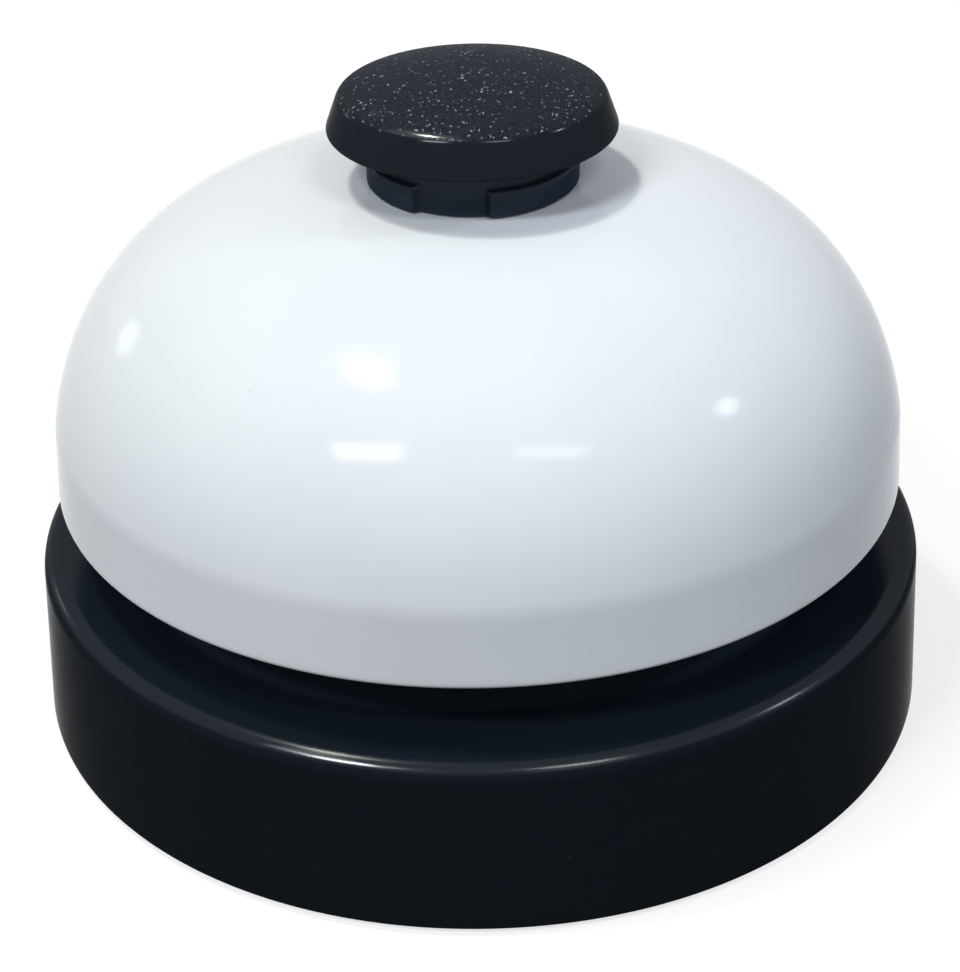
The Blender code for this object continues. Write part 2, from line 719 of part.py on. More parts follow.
def make_push_button(axis):
    crown_z = button_top_z - BUTTON_CROWN_RISE
    crown = []
    count = 6
    for i in range(1, count):
        r = BUTTON_CROWN_RADIUS * i / count
        crown.append((r, button_top_z - BUTTON_CROWN_RISE * (i / count) ** BUTTON_CROWN_POWER))
    lip_z = crown_z - BUTTON_SIDE_HEIGHT
    shoulder = rounded_path([crown[-1], (BUTTON_CROWN_RADIUS, crown_z), (BUTTON_RADIUS, lip_z)],
                            [BUTTON_SHOULDER_FILLET])
    lip = arc((BUTTON_RADIUS - BUTTON_LIP_RADIUS, lip_z), BUTTON_LIP_RADIUS, 0, -math.pi / 2, ARC_STEPS)
    under_z = lip_z - BUTTON_LIP_RADIUS
    boss_bore = ROD_RADIUS + SEAT_GAP
    profile = [
        (0, button_top_z), *crown[:-1], *shoulder[:-1], *lip,
        (BUTTON_BORE_RADIUS, under_z),
        (BUTTON_BORE_RADIUS, ceiling_z),
        (BUTTON_BOSS_RADIUS, ceiling_z),
        (BUTTON_BOSS_RADIUS, boss_end_z),
        (boss_bore, boss_end_z),
        (boss_bore, ceiling_z),
        (0, ceiling_z),
    ]
    button = as_part(turned("push_button", profile, MEDIUM_STEPS), BLACK_GRAIN)
    button.parent = axis
    sharpen(button)


def make_plunger_rod(axis):
    top_z = ceiling_z - SEAT_GAP
    tip_z = rod_tip_z + ROD_TIP_RADIUS
    tip = arc((0, tip_z), ROD_TIP_RADIUS, 0, -math.pi / 2, ARC_STEPS)
    profile = [
        (0, top_z),
        (ROD_RADIUS - ROD_CHAMFER, top_z),
        (ROD_RADIUS, top_z - ROD_CHAMFER),
        (ROD_RADIUS, clip_top_z + SEAT_GAP),
        (ROD_GROOVE_RADIUS, clip_top_z + SEAT_GAP),
        (ROD_GROOVE_RADIUS, clip_z - SEAT_GAP),
        (ROD_TIP_RADIUS + SEAT_GAP, clip_z - SEAT_GAP),
        *tip[:-1],
        (0, rod_tip_z),
    ]
    rod = as_part(turned("plunger_rod", profile, TINY_STEPS), BRIGHT_STEEL)
    rod.parent = axis
    sharpen(rod)


def spring_clip(name, groove_radius, radius, thickness):
    """A flat open ring, its mouth towards -X."""
    inner = groove_radius + SEAT_GAP
    start = math.pi + CLIP_MOUTH / 2
    end = 3 * math.pi - CLIP_MOUTH / 2
    outline = arc((0, 0), radius, start, end, TINY_STEPS)
    outline += arc((0, 0), inner, end, start, TINY_STEPS)
    return plate(name, outline, thickness)


def make_retaining_clip(axis):
    clip = as_part(spring_clip("retaining_clip", ROD_GROOVE_RADIUS, CLIP_RADIUS, CLIP_THICKNESS),
                   SPRING_STEEL)
    clip.location.z = (clip_z + clip_top_z) / 2
    clip.parent = axis


def make_spring_washer(axis):
    bore = ROD_RADIUS + SEAT_GAP
    top_z = spring_washer_z + SPRING_WASHER_THICKNESS
    profile = [(bore, top_z), (BUTTON_BOSS_RADIUS, top_z), (BUTTON_BOSS_RADIUS, spring_washer_z),
               (bore, spring_washer_z)]
    washer = as_part(turned("spring_washer", profile, SMALL_STEPS, ring=True), ZINC_STEEL)
    washer.parent = axis


def make_return_spring():
    per_turn = 10
    wire_radius = SPRING_WIRE / 2
    low_z = spring_foot_z + wire_radius
    rise = spring_top_z - spring_foot_z - SPRING_WIRE
    total = SPRING_TURNS * per_turn
    points = []
    for i in range(total + 1):
        angle = 2 * math.pi * i / per_turn
        points.append((SPRING_RADIUS * math.cos(angle), SPRING_RADIUS * math.sin(angle),
                       low_z + rise * i / total))
    curve = bpy.data.curves.new("return_spring", "CURVE")
    curve.dimensions = "3D"
    curve.bevel_depth = wire_radius
    curve.bevel_resolution = 1
    curve.use_fill_caps = True
    spline = curve.splines.new("POLY")
    spline.points.add(total)
    for point, (x, y, z) in zip(spline.points, points):
        point.co = (x, y, z, 1)
    spring = bpy.data.objects.new("return_spring", curve)
    CUTTERS.objects.link(spring)
    as_part(spring, SPRING_STEEL)
    gaps = [math.dist(points[i], points[j]) - SPRING_WIRE
            for i in range(total) for j in range(i + per_turn // 2, total + 1)]
    print(f"return_spring: least gap to itself {min(gaps) * 1000:.2f} mm")


# The striker

def make_striker_pivot():
    pivot = bpy.data.objects.new("striker_pivot", None)
    pivot.location = (SHORT_ARM, 0, pivot_z)
    PARTS.objects.link(pivot)
    return pivot


def make_pivot_pin():
    half = BRACKET_INSIDE / 2 + SHEET
    groove_low = half + SEAT_GAP
    groove_high = groove_low + CLIP_THICKNESS + 2 * SEAT_GAP
    end = groove_high + PIN_END
    groove_radius = PIN_RADIUS - SEAT_GAP
    head_low = -half - SEAT_GAP - PIN_HEAD_HEIGHT
    profile = [
        (0, end),
        (PIN_RADIUS, end),
        (PIN_RADIUS, groove_high),
        (groove_radius, groove_high),
        (groove_radius, groove_low),
        (PIN_RADIUS, groove_low),
        (PIN_RADIUS, head_low + PIN_HEAD_HEIGHT),
        (PIN_HEAD_RADIUS, head_low + PIN_HEAD_HEIGHT),
        (PIN_HEAD_RADIUS, head_low + PIN_HEAD_HEIGHT / 2),
        (PIN_RADIUS, head_low),
        (0, head_low),
    ]
    along_y = Matrix.Translation((SHORT_ARM, 0, pivot_z)) @ Matrix.Rotation(-math.pi / 2, 4, "X")
    pin = as_part(turned("pivot_pin", profile, TINY_STEPS), BRIGHT_STEEL)
    pin.matrix_world = along_y
    sharpen(pin)
    clip = as_part(spring_clip("pivot_clip", groove_radius, PIN_HEAD_RADIUS, CLIP_THICKNESS),
                   SPRING_STEEL)
    middle = groove_low + SEAT_GAP + CLIP_THICKNESS / 2
    clip.matrix_world = along_y @ Matrix.Translation((0, 0, middle))


def striker_path():
    """The long arm's middle line from the pivot to the hammer, as (x, z) from the pivot."""
    drop = pivot_z - hammer_z
    elbow = Vector((hammer_out * ELBOW_OUT_SHARE, -drop * ELBOW_DOWN_SHARE))
    hammer = Vector((hammer_out, -drop))
    end_way = (hammer - elbow).normalized()
    return elbow, hammer, end_way


def make_striker_arm(pivot):
    elbow, hammer, end_way = striker_path()
    arm_end = hammer - end_way * (HAMMER_RADIUS + SEAT_GAP)
    path = rounded_path([(0, 0), tuple(elbow), tuple(arm_end)], [ARM_BEND_RADIUS])
    last = len(path) - 1
    depths = [ARM_ROOT_HALF_DEPTH + (ARM_END_HALF_DEPTH - ARM_ROOT_HALF_DEPTH) * i / last
              for i in range(last + 1)]
    outline = offset_path(path, [-depth for depth in depths])
    outline += offset_path(path, depths)[::-1]
    upright = Matrix.Rotation(math.pi / 2, 4, "X")
    arm = as_part(plate("striker_arm", outline, ARM_WIDTH), ZINC_STEEL)
    short_end = -SHORT_ARM - ROD_TIP_RADIUS
    short = [(0, -ARM_HALF_DEPTH), (0, ARM_HALF_DEPTH), (short_end, ARM_HALF_DEPTH),
             (short_end, -ARM_HALF_DEPTH)]
    join(arm, plate("short_arm", short, ARM_WIDTH))
    half = BRACKET_INSIDE / 2 - SEAT_GAP
    join(arm, cylinder("hub", HUB_RADIUS, -half, half, SMALL_STEPS))
    stud = cylinder("stud", STUD_RADIUS, -STUD_LENGTH, ARM_END_HALF_DEPTH, TINY_STEPS)
    turn = Vector((0, 0, -1)).rotation_difference(Vector((end_way.x, end_way.y, 0)))
    stud.matrix_world = Matrix.Translation((arm_end.x, arm_end.y, 0)) @ turn.to_matrix().to_4x4()
    join(arm, stud)
    cut(arm, cylinder("hub_bore", PIN_RADIUS + SEAT_GAP, -half - OVERRUN, half + OVERRUN, TINY_STEPS))
    for modifier in arm.modifiers:
        shape = modifier.object
        shape.matrix_world = pivot.matrix_world @ upright @ shape.matrix_world
    arm.parent = pivot
    arm.matrix_parent_inverse = Matrix.Identity(4)
    arm.matrix_basis = upright
    sharpen(arm)


def make_hammer_head(pivot):
    _, hammer, end_way = striker_path()
    bore = STUD_RADIUS + SEAT_GAP
    flat_radius = bore + ARM_END_HALF_DEPTH / 2
    flat = math.sqrt(HAMMER_RADIUS ** 2 - flat_radius ** 2)
    start = math.asin(flat / HAMMER_RADIUS)
    ball = arc((0, 0), HAMMER_RADIUS, start, -math.pi / 2, 3 * ARC_STEPS)
    bore_end = HAMMER_RADIUS - STUD_LENGTH
    profile = [(0, bore_end), (bore, bore_end), (bore, flat), *ball[:-1], (0, -HAMMER_RADIUS)]
    head = as_part(turned("hammer_head", profile, SMALL_STEPS), BRIGHT_STEEL)
    back = Vector((-end_way.x, 0, -end_way.y))
    turn = Vector((0, 0, 1)).rotation_difference(back).to_matrix().to_4x4()
    head.parent = pivot
    head.matrix_basis = Matrix.Translation((hammer.x, 0, hammer.y)) @ turn


def make_hammer_pad():
    low_z = pocket_z + SEAT_GAP
    as_part(cylinder("hammer_pad", PAD_RADIUS, low_z, low_z + PAD_THICKNESS, SMALL_STEPS,
                     (hammer_x, 0)), FELT)


def main():
    make_base_housing()
    make_bottom_cover()
    make_cover_screws()
    make_rubber_feet()
    make_striker_bracket()
    make_bracket_screws()
    make_support_post()
    make_post_nut()
    make_gong_seat_washer()
    make_gong()
    make_collar_nut()
    axis = make_button_axis()
    make_push_button(axis)
    make_plunger_rod(axis)
    make_retaining_clip(axis)
    make_spring_washer(axis)
    make_return_spring()
    pivot = make_striker_pivot()
    bpy.context.view_layer.update()
    make_pivot_pin()
    make_striker_arm(pivot)
    make_hammer_head(pivot)
    make_hammer_pad()
    print(f"pivot x {SHORT_ARM * 1000:.2f}, z {pivot_z * 1000:.2f} mm;"
          f" swing {math.degrees(striker_swing):.2f} degrees")
    print(f"hammer at rest x {hammer_x * 1000:.2f}, z {hammer_z * 1000:.2f} mm;"
          f" spring foot {spring_foot_z * 1000:.2f} mm")


main()
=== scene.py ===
# Service bell: the looks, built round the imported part.
# Lengths are metres in the part's own frame: Z up, the camera looks along +Y from in front.
import json

import bmesh
import bpy
import numpy as np
from mathutils import Matrix, Vector


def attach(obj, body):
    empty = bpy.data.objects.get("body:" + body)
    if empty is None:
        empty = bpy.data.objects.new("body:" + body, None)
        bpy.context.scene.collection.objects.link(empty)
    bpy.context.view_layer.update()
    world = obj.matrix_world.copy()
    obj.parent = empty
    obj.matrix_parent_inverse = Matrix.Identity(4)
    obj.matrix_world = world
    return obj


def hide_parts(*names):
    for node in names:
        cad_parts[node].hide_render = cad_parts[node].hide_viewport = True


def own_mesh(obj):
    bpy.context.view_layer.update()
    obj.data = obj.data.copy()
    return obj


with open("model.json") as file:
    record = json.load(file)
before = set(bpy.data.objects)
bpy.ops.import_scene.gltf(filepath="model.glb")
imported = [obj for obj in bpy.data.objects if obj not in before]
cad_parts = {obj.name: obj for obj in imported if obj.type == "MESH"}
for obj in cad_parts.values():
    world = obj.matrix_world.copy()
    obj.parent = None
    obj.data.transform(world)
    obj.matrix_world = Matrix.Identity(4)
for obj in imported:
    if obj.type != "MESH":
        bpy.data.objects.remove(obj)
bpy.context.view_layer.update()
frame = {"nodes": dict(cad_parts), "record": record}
mm = 0.001
print("frame loaded:", len(frame["nodes"]), "nodes")


# Shader maths

class Wire:
    # wraps a node's output; sums and products of it add Math nodes
    def __init__(self, tree, socket):
        self.tree = tree
        self.socket = socket

    def maths(self, operation, other, swapped=False):
        node = self.tree.nodes.new("ShaderNodeMath")
        node.operation = operation
        pair = (other, self) if swapped else (self, other)
        for slot, value in zip(node.inputs, pair):
            if isinstance(value, Wire):
                self.tree.links.new(value.socket, slot)
            else:
                slot.default_value = value
        return Wire(self.tree, node.outputs[0])

    def __add__(self, other):
        return self.maths("ADD", other)

    def __radd__(self, other):
        return self.maths("ADD", other, True)

    def __sub__(self, other):
        return self.maths("SUBTRACT", other)

    def __rsub__(self, other):
        return self.maths("SUBTRACT", other, True)

    def __mul__(self, other):
        return self.maths("MULTIPLY", other)

    def __rmul__(self, other):
        return self.maths("MULTIPLY", other, True)

    def __lt__(self, other):
        return self.maths("LESS_THAN", other)

    def __gt__(self, other):
        return self.maths("GREATER_THAN", other)

    def __or__(self, other):
        return self.maths("MAXIMUM", other)

    def __abs__(self):
        return self.maths("ABSOLUTE", 0)


class Finish:
    # one material: its Principled shader, and the nodes that vary it over the surface
    def __init__(self, name, colour, roughness, **plain):
        self.material = bpy.data.materials.new(name)
        self.material.use_nodes = True
        self.material.diffuse_color = (*colour, 1)
        self.tree = self.material.node_tree
        self.shader = self.tree.nodes["Principled BSDF"]
        self.shader.inputs["Base Color"].default_value = (*colour, 1)
        self.shader.inputs["Roughness"].default_value = roughness
        for label, value in plain.items():
            self.shader.inputs[label.replace("_", " ")].default_value = value

    def add(self, kind, settings=None, values=None, output=0):
        node = self.tree.nodes.new("ShaderNode" + kind)
        for key, value in (settings or {}).items():
            setattr(node, key, value)
        for key, value in (values or {}).items():
            if isinstance(value, Wire):
                self.tree.links.new(value.socket, node.inputs[key])
            else:
                node.inputs[key].default_value = value
        return Wire(self.tree, node.outputs[output])

    def place(self):
        return self.add("TexCoord", output="Object")

    def height(self, place):
        return self.add("SeparateXYZ", values={0: place}, output="Z")

    def reach(self, place):
        # distance from the bell's upright axis
        flat = self.add("VectorMath", {"operation": "MULTIPLY"}, {0: place, 1: (1, 1, 0)})
        return self.add("VectorMath", {"operation": "LENGTH"}, {0: flat}, "Value")

    def along(self, place, way):
        # distance from the middle, measured along one direction
        return self.add("VectorMath", {"operation": "DOT_PRODUCT"}, {0: place, 1: way}, "Value")

    def noise(self, place, size, detail=2.0, roughness=0.5):
        # soft noise whose blobs are about one size across, in metres
        return self.add("TexNoise", values={"Vector": place, "Scale": 1 / size, "Detail": detail,
                                            "Roughness": roughness}, output="Fac")

    def cells(self, place, size, output="Distance"):
        # cells about one size across: the distance from the nearest middle, or one colour for each cell
        return self.add("TexVoronoi", {"feature": "F1"}, {"Vector": place, "Scale": 1 / size}, output)

    def turned(self, place, turn, stretch, shift=(0, 0, 0)):
        # the place turned and stretched, so that what is read there runs along one way
        return self.add("Mapping", values={"Vector": place, "Rotation": turn, "Scale": stretch,
                                           "Location": shift})

    def step(self, value, low, high):
        # 0 below low, 1 above high, smooth between
        return self.add("MapRange", {"interpolation_type": "SMOOTHSTEP"},
                        {"Value": value, "From Min": low, "From Max": high}, "Result")

    def mixed(self, share, first, second):
        colours = {0: share}
        for key, colour in ((6, first), (7, second)):
            colours[key] = colour if isinstance(colour, Wire) else (*colour, 1)
        return self.add("Mix", {"data_type": "RGBA"}, colours, 2)

    def specks(self, place, size, share, radius):
        # one round speck in some of the cells: share of the cells, radius as a share of the cell
        near = self.cells(place, size)
        luck = self.add("SeparateColor", values={0: self.cells(place, size, "Color")})
        return self.step(radius - near, 0, radius * 0.35) * (luck < share)

    def scratches(self, place, turn, length, width, seed):
        # hair lines: where noise stretched along one way crosses its middle value, broken into short runs;
        # across the lines the first noise is finer by narrow, the second by ten
        narrow = 12
        lane = self.turned(place, turn, (1 / length, narrow / length, narrow / length), (seed, seed, seed))
        field = self.add("TexNoise", values={"Vector": lane, "Scale": 1.0, "Detail": 1.0}, output="Fac")
        line = self.step(width - abs(field - 0.5), 0, width)
        runs = self.turned(place, turn, (0.5 / length, 5 / length, 5 / length), (-seed, seed, 0))
        run = self.add("TexNoise", values={"Vector": runs, "Scale": 1.0, "Detail": 0.0}, output="Fac")
        return line * self.step(run, 0.6, 0.68)

    def bump(self, height, depth):
        # height from 0 to 1 stands for a real depth in metres
        normal = self.add("Bump", values={"Height": height, "Distance": depth, "Strength": 1.0})
        self.tree.links.new(normal.socket, self.shader.inputs["Normal"])

    def feed(self, label, wire):
        self.tree.links.new(wire.socket, self.shader.inputs[label])


# Finishes

def whiteEnamel():
    # glossy sprayed coat: faint clouds, orange peel and a few specks of dust
    look = {"colour": (0.80, 0.82, 0.84), "shade": (0.74, 0.765, 0.79), "speck": (0.42, 0.41, 0.39),
            "cloudSize": 14 * mm, "fineSize": 1.7 * mm, "peelSize": 0.6 * mm, "peelDepth": 0.006 * mm,
            "dust": (3.1 * mm, 0.10, 0.035)}
    paint = Finish("whiteEnamel", look["colour"], 0.1, IOR=1.155)
    place = paint.place()
    cloud = paint.noise(place, look["cloudSize"], 3)
    fine = paint.noise(place, look["fineSize"], 2)
    dust = paint.specks(place, *look["dust"])
    body = paint.mixed(cloud, look["shade"], look["colour"])
    paint.feed("Base Color", paint.mixed(dust * 0.5, body, look["speck"]))
    paint.feed("Roughness", 0.08 + cloud * 0.05 + fine * 0.03 + dust * 0.3)
    peel = fine * 0.7 + paint.noise(place, look["peelSize"], 1) * 0.3
    paint.bump(peel + dust * 0.6, look["peelDepth"])
    return paint.material


def glossBlack():
    # polished on the deck and the rim, duller down the wall, with painted light lifting the gong's shadow on
    # the deck, and rubbed bright in two places along the front of the rim
    look = {"deck": (0.0072, 0.0118, 0.0178), "paintedShelterLight": (0.034, 0.054, 0.074),
            "wall": (0.0082, 0.0110, 0.0150), "worn": (0.018, 0.022, 0.028), "speck": (0.16, 0.17, 0.18),
            "wallGloss": 0.006, "deckGloss": 0.08, "polishedHeight": (16.1 * mm, 16.4 * mm),
            "paintedLightReach": (33 * mm, 34.7 * mm),
            "leftWay": (-0.335, -0.942, 0), "leftReach": (40.85 * mm, 41.15 * mm),
            "leftHeight": (16.36 * mm, 16.5 * mm), "leftGloss": 0.45,
            "rightWay": (0.2, -0.98, 0), "rightReach": (41 * mm, 41.55 * mm), "rightGloss": 0.16,
            "cloudSize": 9 * mm, "fineSize": 0.9 * mm, "bumpDepth": 0.005 * mm,
            "dust": (2.3 * mm, 0.07, 0.03),
            "longHairs": ((0.4, 0.2, 0.7), 9 * mm, 0.006, 3.7),
            "shortHairs": ((0.1, 0.9, -0.6), 7 * mm, 0.005, 9.1)}
    plastic = Finish("glossBlackPlastic", look["wall"], 0.16, IOR=1.02, Coat_IOR=2.2, Coat_Roughness=0.19)
    place = plastic.place()
    height = plastic.height(place)
    polished = plastic.step(height, *look["polishedHeight"])
    # where the painted light on the deck ends, outside the gong's shadow
    beyondPaintedLight = plastic.step(plastic.reach(place), *look["paintedLightReach"])
    left = plastic.step(plastic.along(place, look["leftWay"]), *look["leftReach"])
    left = left * plastic.step(height, *look["leftHeight"])
    right = plastic.step(plastic.along(place, look["rightWay"]), *look["rightReach"])
    rubbed = left * look["leftGloss"] + right * look["rightGloss"]
    plastic.feed("Coat Weight", look["wallGloss"] + polished * (look["deckGloss"] + rubbed))
    cloud = plastic.noise(place, look["cloudSize"], 3)
    fine = plastic.noise(place, look["fineSize"], 2)
    hairs = plastic.scratches(place, *look["longHairs"]) | plastic.scratches(place, *look["shortHairs"])
    dust = plastic.specks(place, *look["dust"])
    # painted light: a paler colour on the deck under the gong's edge, where the gong's shadow falls; worn
    # below carries it
    deck = plastic.mixed(beyondPaintedLight, look["paintedShelterLight"], look["deck"])
    worn = plastic.mixed(hairs, plastic.mixed(polished, look["wall"], deck), look["worn"])
    plastic.feed("Base Color", plastic.mixed(dust * 0.5, worn, look["speck"]))
    plastic.feed("Roughness", 0.13 + cloud * 0.07 + hairs * 0.2 + dust * 0.3)
    plastic.bump(fine * 0.5 - hairs * 0.5 + dust, look["bumpDepth"])
    return plastic.material


def buttonBlack():
    # grained on the crown with painted glints and painted shade in its hollows, smooth below the shoulder,
    # glossiest along the front left edge
    # tip is the pale colour of the painted glints on the grain
    look = {"side": (0.0045, 0.009, 0.0145), "crown": (0.0150, 0.0218, 0.0322),
            "paintedPitShade": (0.0088, 0.0127, 0.0184), "tip": (0.32, 0.34, 0.36),
            "grainSize": 0.36 * mm, "fineSize": 0.18 * mm, "grainDepth": 0.13 * mm,
            "glintSize": 0.38 * mm, "glintStretch": (1, 0.62, 1), "swirlSize": 0.4 * mm,
            "swirlReach": (0.5 * mm, 0.5 * mm, 0), "patchSize": 3.2 * mm,
            "crownHeight": (59.3 * mm, 59.5 * mm), "middleHeight": (60.0 * mm, 60.5 * mm),
            "frontWay": (-0.5, -0.85, 0), "frontReach": (6 * mm, 10.5 * mm),
            "cluster": (-0.6 * mm, -4 * mm, 61 * mm), "clusterReach": (2 * mm, 6 * mm),
            "edgeWay": (-0.36, -0.93, 0), "edgeReach": (10.9 * mm, 11.35 * mm),
            "edgeLow": (59.4 * mm, 59.5 * mm), "edgeHigh": (59.75 * mm, 60 * mm),
            "gloss": 0.06, "edgeGloss": 0.19, "hairs": ((0.3, 0.5, 0.2), 6 * mm, 0.006, 1.3)}
    plastic = Finish("grainedBlackPlastic", look["side"], 0.25, IOR=1.02, Coat_IOR=2.2, Coat_Roughness=0.14)
    place = plastic.place()
    height = plastic.height(place)
    crown = plastic.step(height, *look["crownHeight"])
    middle = plastic.step(height, *look["middleHeight"])
    front = plastic.step(plastic.along(place, look["frontWay"]), *look["frontReach"])
    away = plastic.add("VectorMath", {"operation": "DISTANCE"}, {0: place, 1: look["cluster"]}, "Value")
    cluster = 1 - plastic.step(away, *look["clusterReach"])
    patches = plastic.noise(place, look["patchSize"], 2)
    pebbles = plastic.cells(place, look["grainSize"])
    fine = plastic.noise(place, look["fineSize"], 2)
    # painted glints: pale specks on the grain's tips standing in for lamp glints, bent out of round, most in
    # the cluster and at the front left
    swirl = plastic.add("TexNoise", values={"Vector": place, "Scale": 1 / look["swirlSize"], "Detail": 1.0},
                        output="Color")
    bent = plastic.add("VectorMath", {"operation": "MULTIPLY_ADD"},
                       {0: swirl, 1: look["swirlReach"], 2: place})
    spread = plastic.turned(bent, (0, 0, 0), look["glintStretch"])
    near = plastic.cells(spread, look["glintSize"])
    chance = plastic.cells(spread, look["glintSize"], "Color")
    luck = plastic.add("SeparateColor", values={0: chance})
    bright = plastic.add("SeparateColor", values={0: chance}, output=1)
    chosen = luck < 0.95 - middle * 0.1 + front * 0.1
    chosen = chosen * plastic.step(patches + front * 0.2 + cluster * 0.16, 0.3, 0.56)
    paintedGlints = plastic.step(0.3 - near, 0, 0.13) * chosen * (bright * bright + front * 0.06 + cluster * 0.22)
    grain = (1 - pebbles) * 0.6 + fine * 0.5
    hairs = plastic.scratches(place, *look["hairs"]) * (1 - crown)
    # painted shade: a darker colour in the hollows between the grain's pebbles
    pitShadeMask = plastic.step(pebbles * 0.6 + fine * 0.6, 0.35, 0.75)
    ground = plastic.mixed(crown, look["side"], plastic.mixed(pitShadeMask, look["crown"], look["paintedPitShade"]))
    plastic.feed("Base Color", plastic.mixed(paintedGlints * crown, ground, look["tip"]))
    plastic.feed("Roughness", 0.2 + crown * (0.12 + patches * 0.16) + hairs * 0.2)
    edge = plastic.step(height, *look["edgeLow"]) * (1 - plastic.step(height, *look["edgeHigh"]))
    edge = edge * plastic.step(plastic.along(place, look["edgeWay"]), *look["edgeReach"])
    plastic.feed("Coat Weight", look["gloss"] + edge * look["edgeGloss"])
    plastic.bump(grain * crown + hairs * 0.1, look["grainDepth"])
    return plastic.material


def collarBlack():
    # semi-gloss, with paler painted light on the ledge on top of the ridges, where the button's shadow falls
    # colour and edge are black plastic raised towards blue, partly a painted reflection of the white gong
    look = {"colour": (0.0155, 0.0275, 0.0435), "edge": (0.021, 0.0345, 0.052), "paintedLedgeLight": (0.05, 0.075, 0.1),
            "ledgeHeight": (53.5 * mm, 53.72 * mm), "ledgeReach": 8.86 * mm,
            "cloudSize": 2.5 * mm, "fineSize": 0.35 * mm, "bumpDepth": 0.008 * mm,
            "hairs": ((0.2, 0.1, 0.5), 4 * mm, 0.008, 5.5)}
    plastic = Finish("collarBlackPlastic", look["colour"], 0.22, IOR=1.02, Coat_IOR=2.2, Coat_Roughness=0.15,
                     Coat_Weight=0.07)
    place = plastic.place()
    cloud = plastic.noise(place, look["cloudSize"], 3)
    fine = plastic.noise(place, look["fineSize"], 2)
    hairs = plastic.scratches(place, *look["hairs"])
    # painted light: a paler colour on the ridges' upward ledge, which lies in the button's shadow
    paintedLedgeLight = plastic.step(plastic.height(place), *look["ledgeHeight"])
    paintedLedgeLight = paintedLedgeLight * (plastic.reach(place) > look["ledgeReach"])
    body = plastic.mixed(cloud * 0.4 + hairs * 0.6, look["colour"], look["edge"])
    plastic.feed("Base Color", plastic.mixed(paintedLedgeLight, body, look["paintedLedgeLight"]))
    plastic.feed("Roughness", 0.16 + cloud * 0.12 + hairs * 0.2)
    plastic.bump(fine * 0.8 - hairs * 0.4, look["bumpDepth"])
    return plastic.material


def coverBlack():
    look = {"colour": (0.012, 0.0125, 0.0135), "rubbed": (0.035, 0.036, 0.038),
            "cloudSize": 12 * mm, "grainSize": 0.4 * mm, "grainDepth": 0.02 * mm,
            "hairs": ((0, 0, 0.5), 12 * mm, 0.008, 2.2)}
    plastic = Finish("satinBlackPlastic", look["colour"], 0.42)
    place = plastic.place()
    cloud = plastic.noise(place, look["cloudSize"], 3)
    grain = plastic.cells(place, look["grainSize"])
    hairs = plastic.scratches(place, *look["hairs"])
    plastic.feed("Base Color", plastic.mixed(cloud * 0.3 + hairs * 0.7, look["colour"], look["rubbed"]))
    plastic.feed("Roughness", 0.36 + cloud * 0.14)
    plastic.bump(grain * 0.6 - hairs * 0.4, look["grainDepth"])
    return plastic.material


def footRubber():
    look = {"colour": (0.017, 0.017, 0.018), "bloom": (0.05, 0.05, 0.05),
            "bloomSize": 2.2 * mm, "grainSize": 0.25 * mm, "grainDepth": 0.03 * mm}
    rubber = Finish("blackRubber", look["colour"], 0.75)
    place = rubber.place()
    bloom = rubber.noise(place, look["bloomSize"], 4, 0.6)
    grain = rubber.noise(place, look["grainSize"], 3)
    rubber.feed("Base Color", rubber.mixed(rubber.step(bloom, 0.45, 0.75), look["colour"], look["bloom"]))
    rubber.feed("Roughness", 0.62 + grain * 0.25)
    rubber.bump(grain, look["grainDepth"])
    return rubber.material


def platedSteel(name, look):
    # drawn or rolled steel: fine lines along one way, and cloudy plating
    steel = Finish(name, look["colour"], look["sheen"], Metallic=1.0)
    place = steel.place()
    lines = steel.turned(place, look["lineTurn"], look["lineStretch"])
    drawn = steel.add("TexNoise", values={"Vector": lines, "Scale": 2.0, "Detail": 3.0}, output="Fac")
    cloud = steel.noise(place, look["cloudSize"], 3)
    steel.feed("Base Color", steel.mixed(cloud * 0.6 + drawn * 0.4, look["dull"], look["colour"]))
    steel.feed("Roughness", look["sheen"] - 0.08 + cloud * 0.12 + drawn * 0.08)
    steel.bump(drawn, look["lineDepth"])
    return steel.material


steelLook = {"lineStretch": (40, 900, 900), "cloudSize": 3 * mm, "lineDepth": 0.006 * mm}
zincLook = {**steelLook, "colour": (0.64, 0.65, 0.66), "dull": (0.47, 0.48, 0.47), "sheen": 0.34,
            "lineTurn": (0, 0, 0.8)}
brightLook = {**steelLook, "colour": (0.72, 0.72, 0.73), "dull": (0.58, 0.58, 0.59), "sheen": 0.22,
              "lineTurn": (0, 1.57, 0)}
wireLook = {**steelLook, "colour": (0.5, 0.5, 0.53), "dull": (0.34, 0.34, 0.37), "sheen": 0.3,
            "lineTurn": (0.3, 0.2, 0)}


def redFibre():
    look = {"colour": (0.27, 0.065, 0.04), "dark": (0.13, 0.03, 0.02),
            "strandTurn": (0, 0, 0.6), "strandStretch": (300, 2400, 2400), "strandDepth": 0.03 * mm}
    fibre = Finish("redFibre", look["colour"], 0.7)
    place = fibre.place()
    strands = fibre.turned(place, look["strandTurn"], look["strandStretch"])
    weave = fibre.add("TexNoise", values={"Vector": strands, "Scale": 1.0, "Detail": 3.0}, output="Fac")
    fibre.feed("Base Color", fibre.mixed(weave, look["dark"], look["colour"]))
    fibre.feed("Roughness", 0.6 + weave * 0.2)
    fibre.bump(weave, look["strandDepth"])
    return fibre.material


def greyFelt():
    look = {"colour": (0.23, 0.23, 0.235), "dark": (0.1, 0.1, 0.105),
            "hairSize": 0.35 * mm, "hairDepth": 0.12 * mm}
    felt = Finish("greyFelt", look["colour"], 0.95, Sheen_Weight=0.3)
    place = felt.place()
    tangle = felt.noise(place, look["hairSize"], 5, 0.7)
    felt.feed("Base Color", felt.mixed(tangle, look["dark"], look["colour"]))
    felt.bump(tangle, look["hairDepth"])
    return felt.material


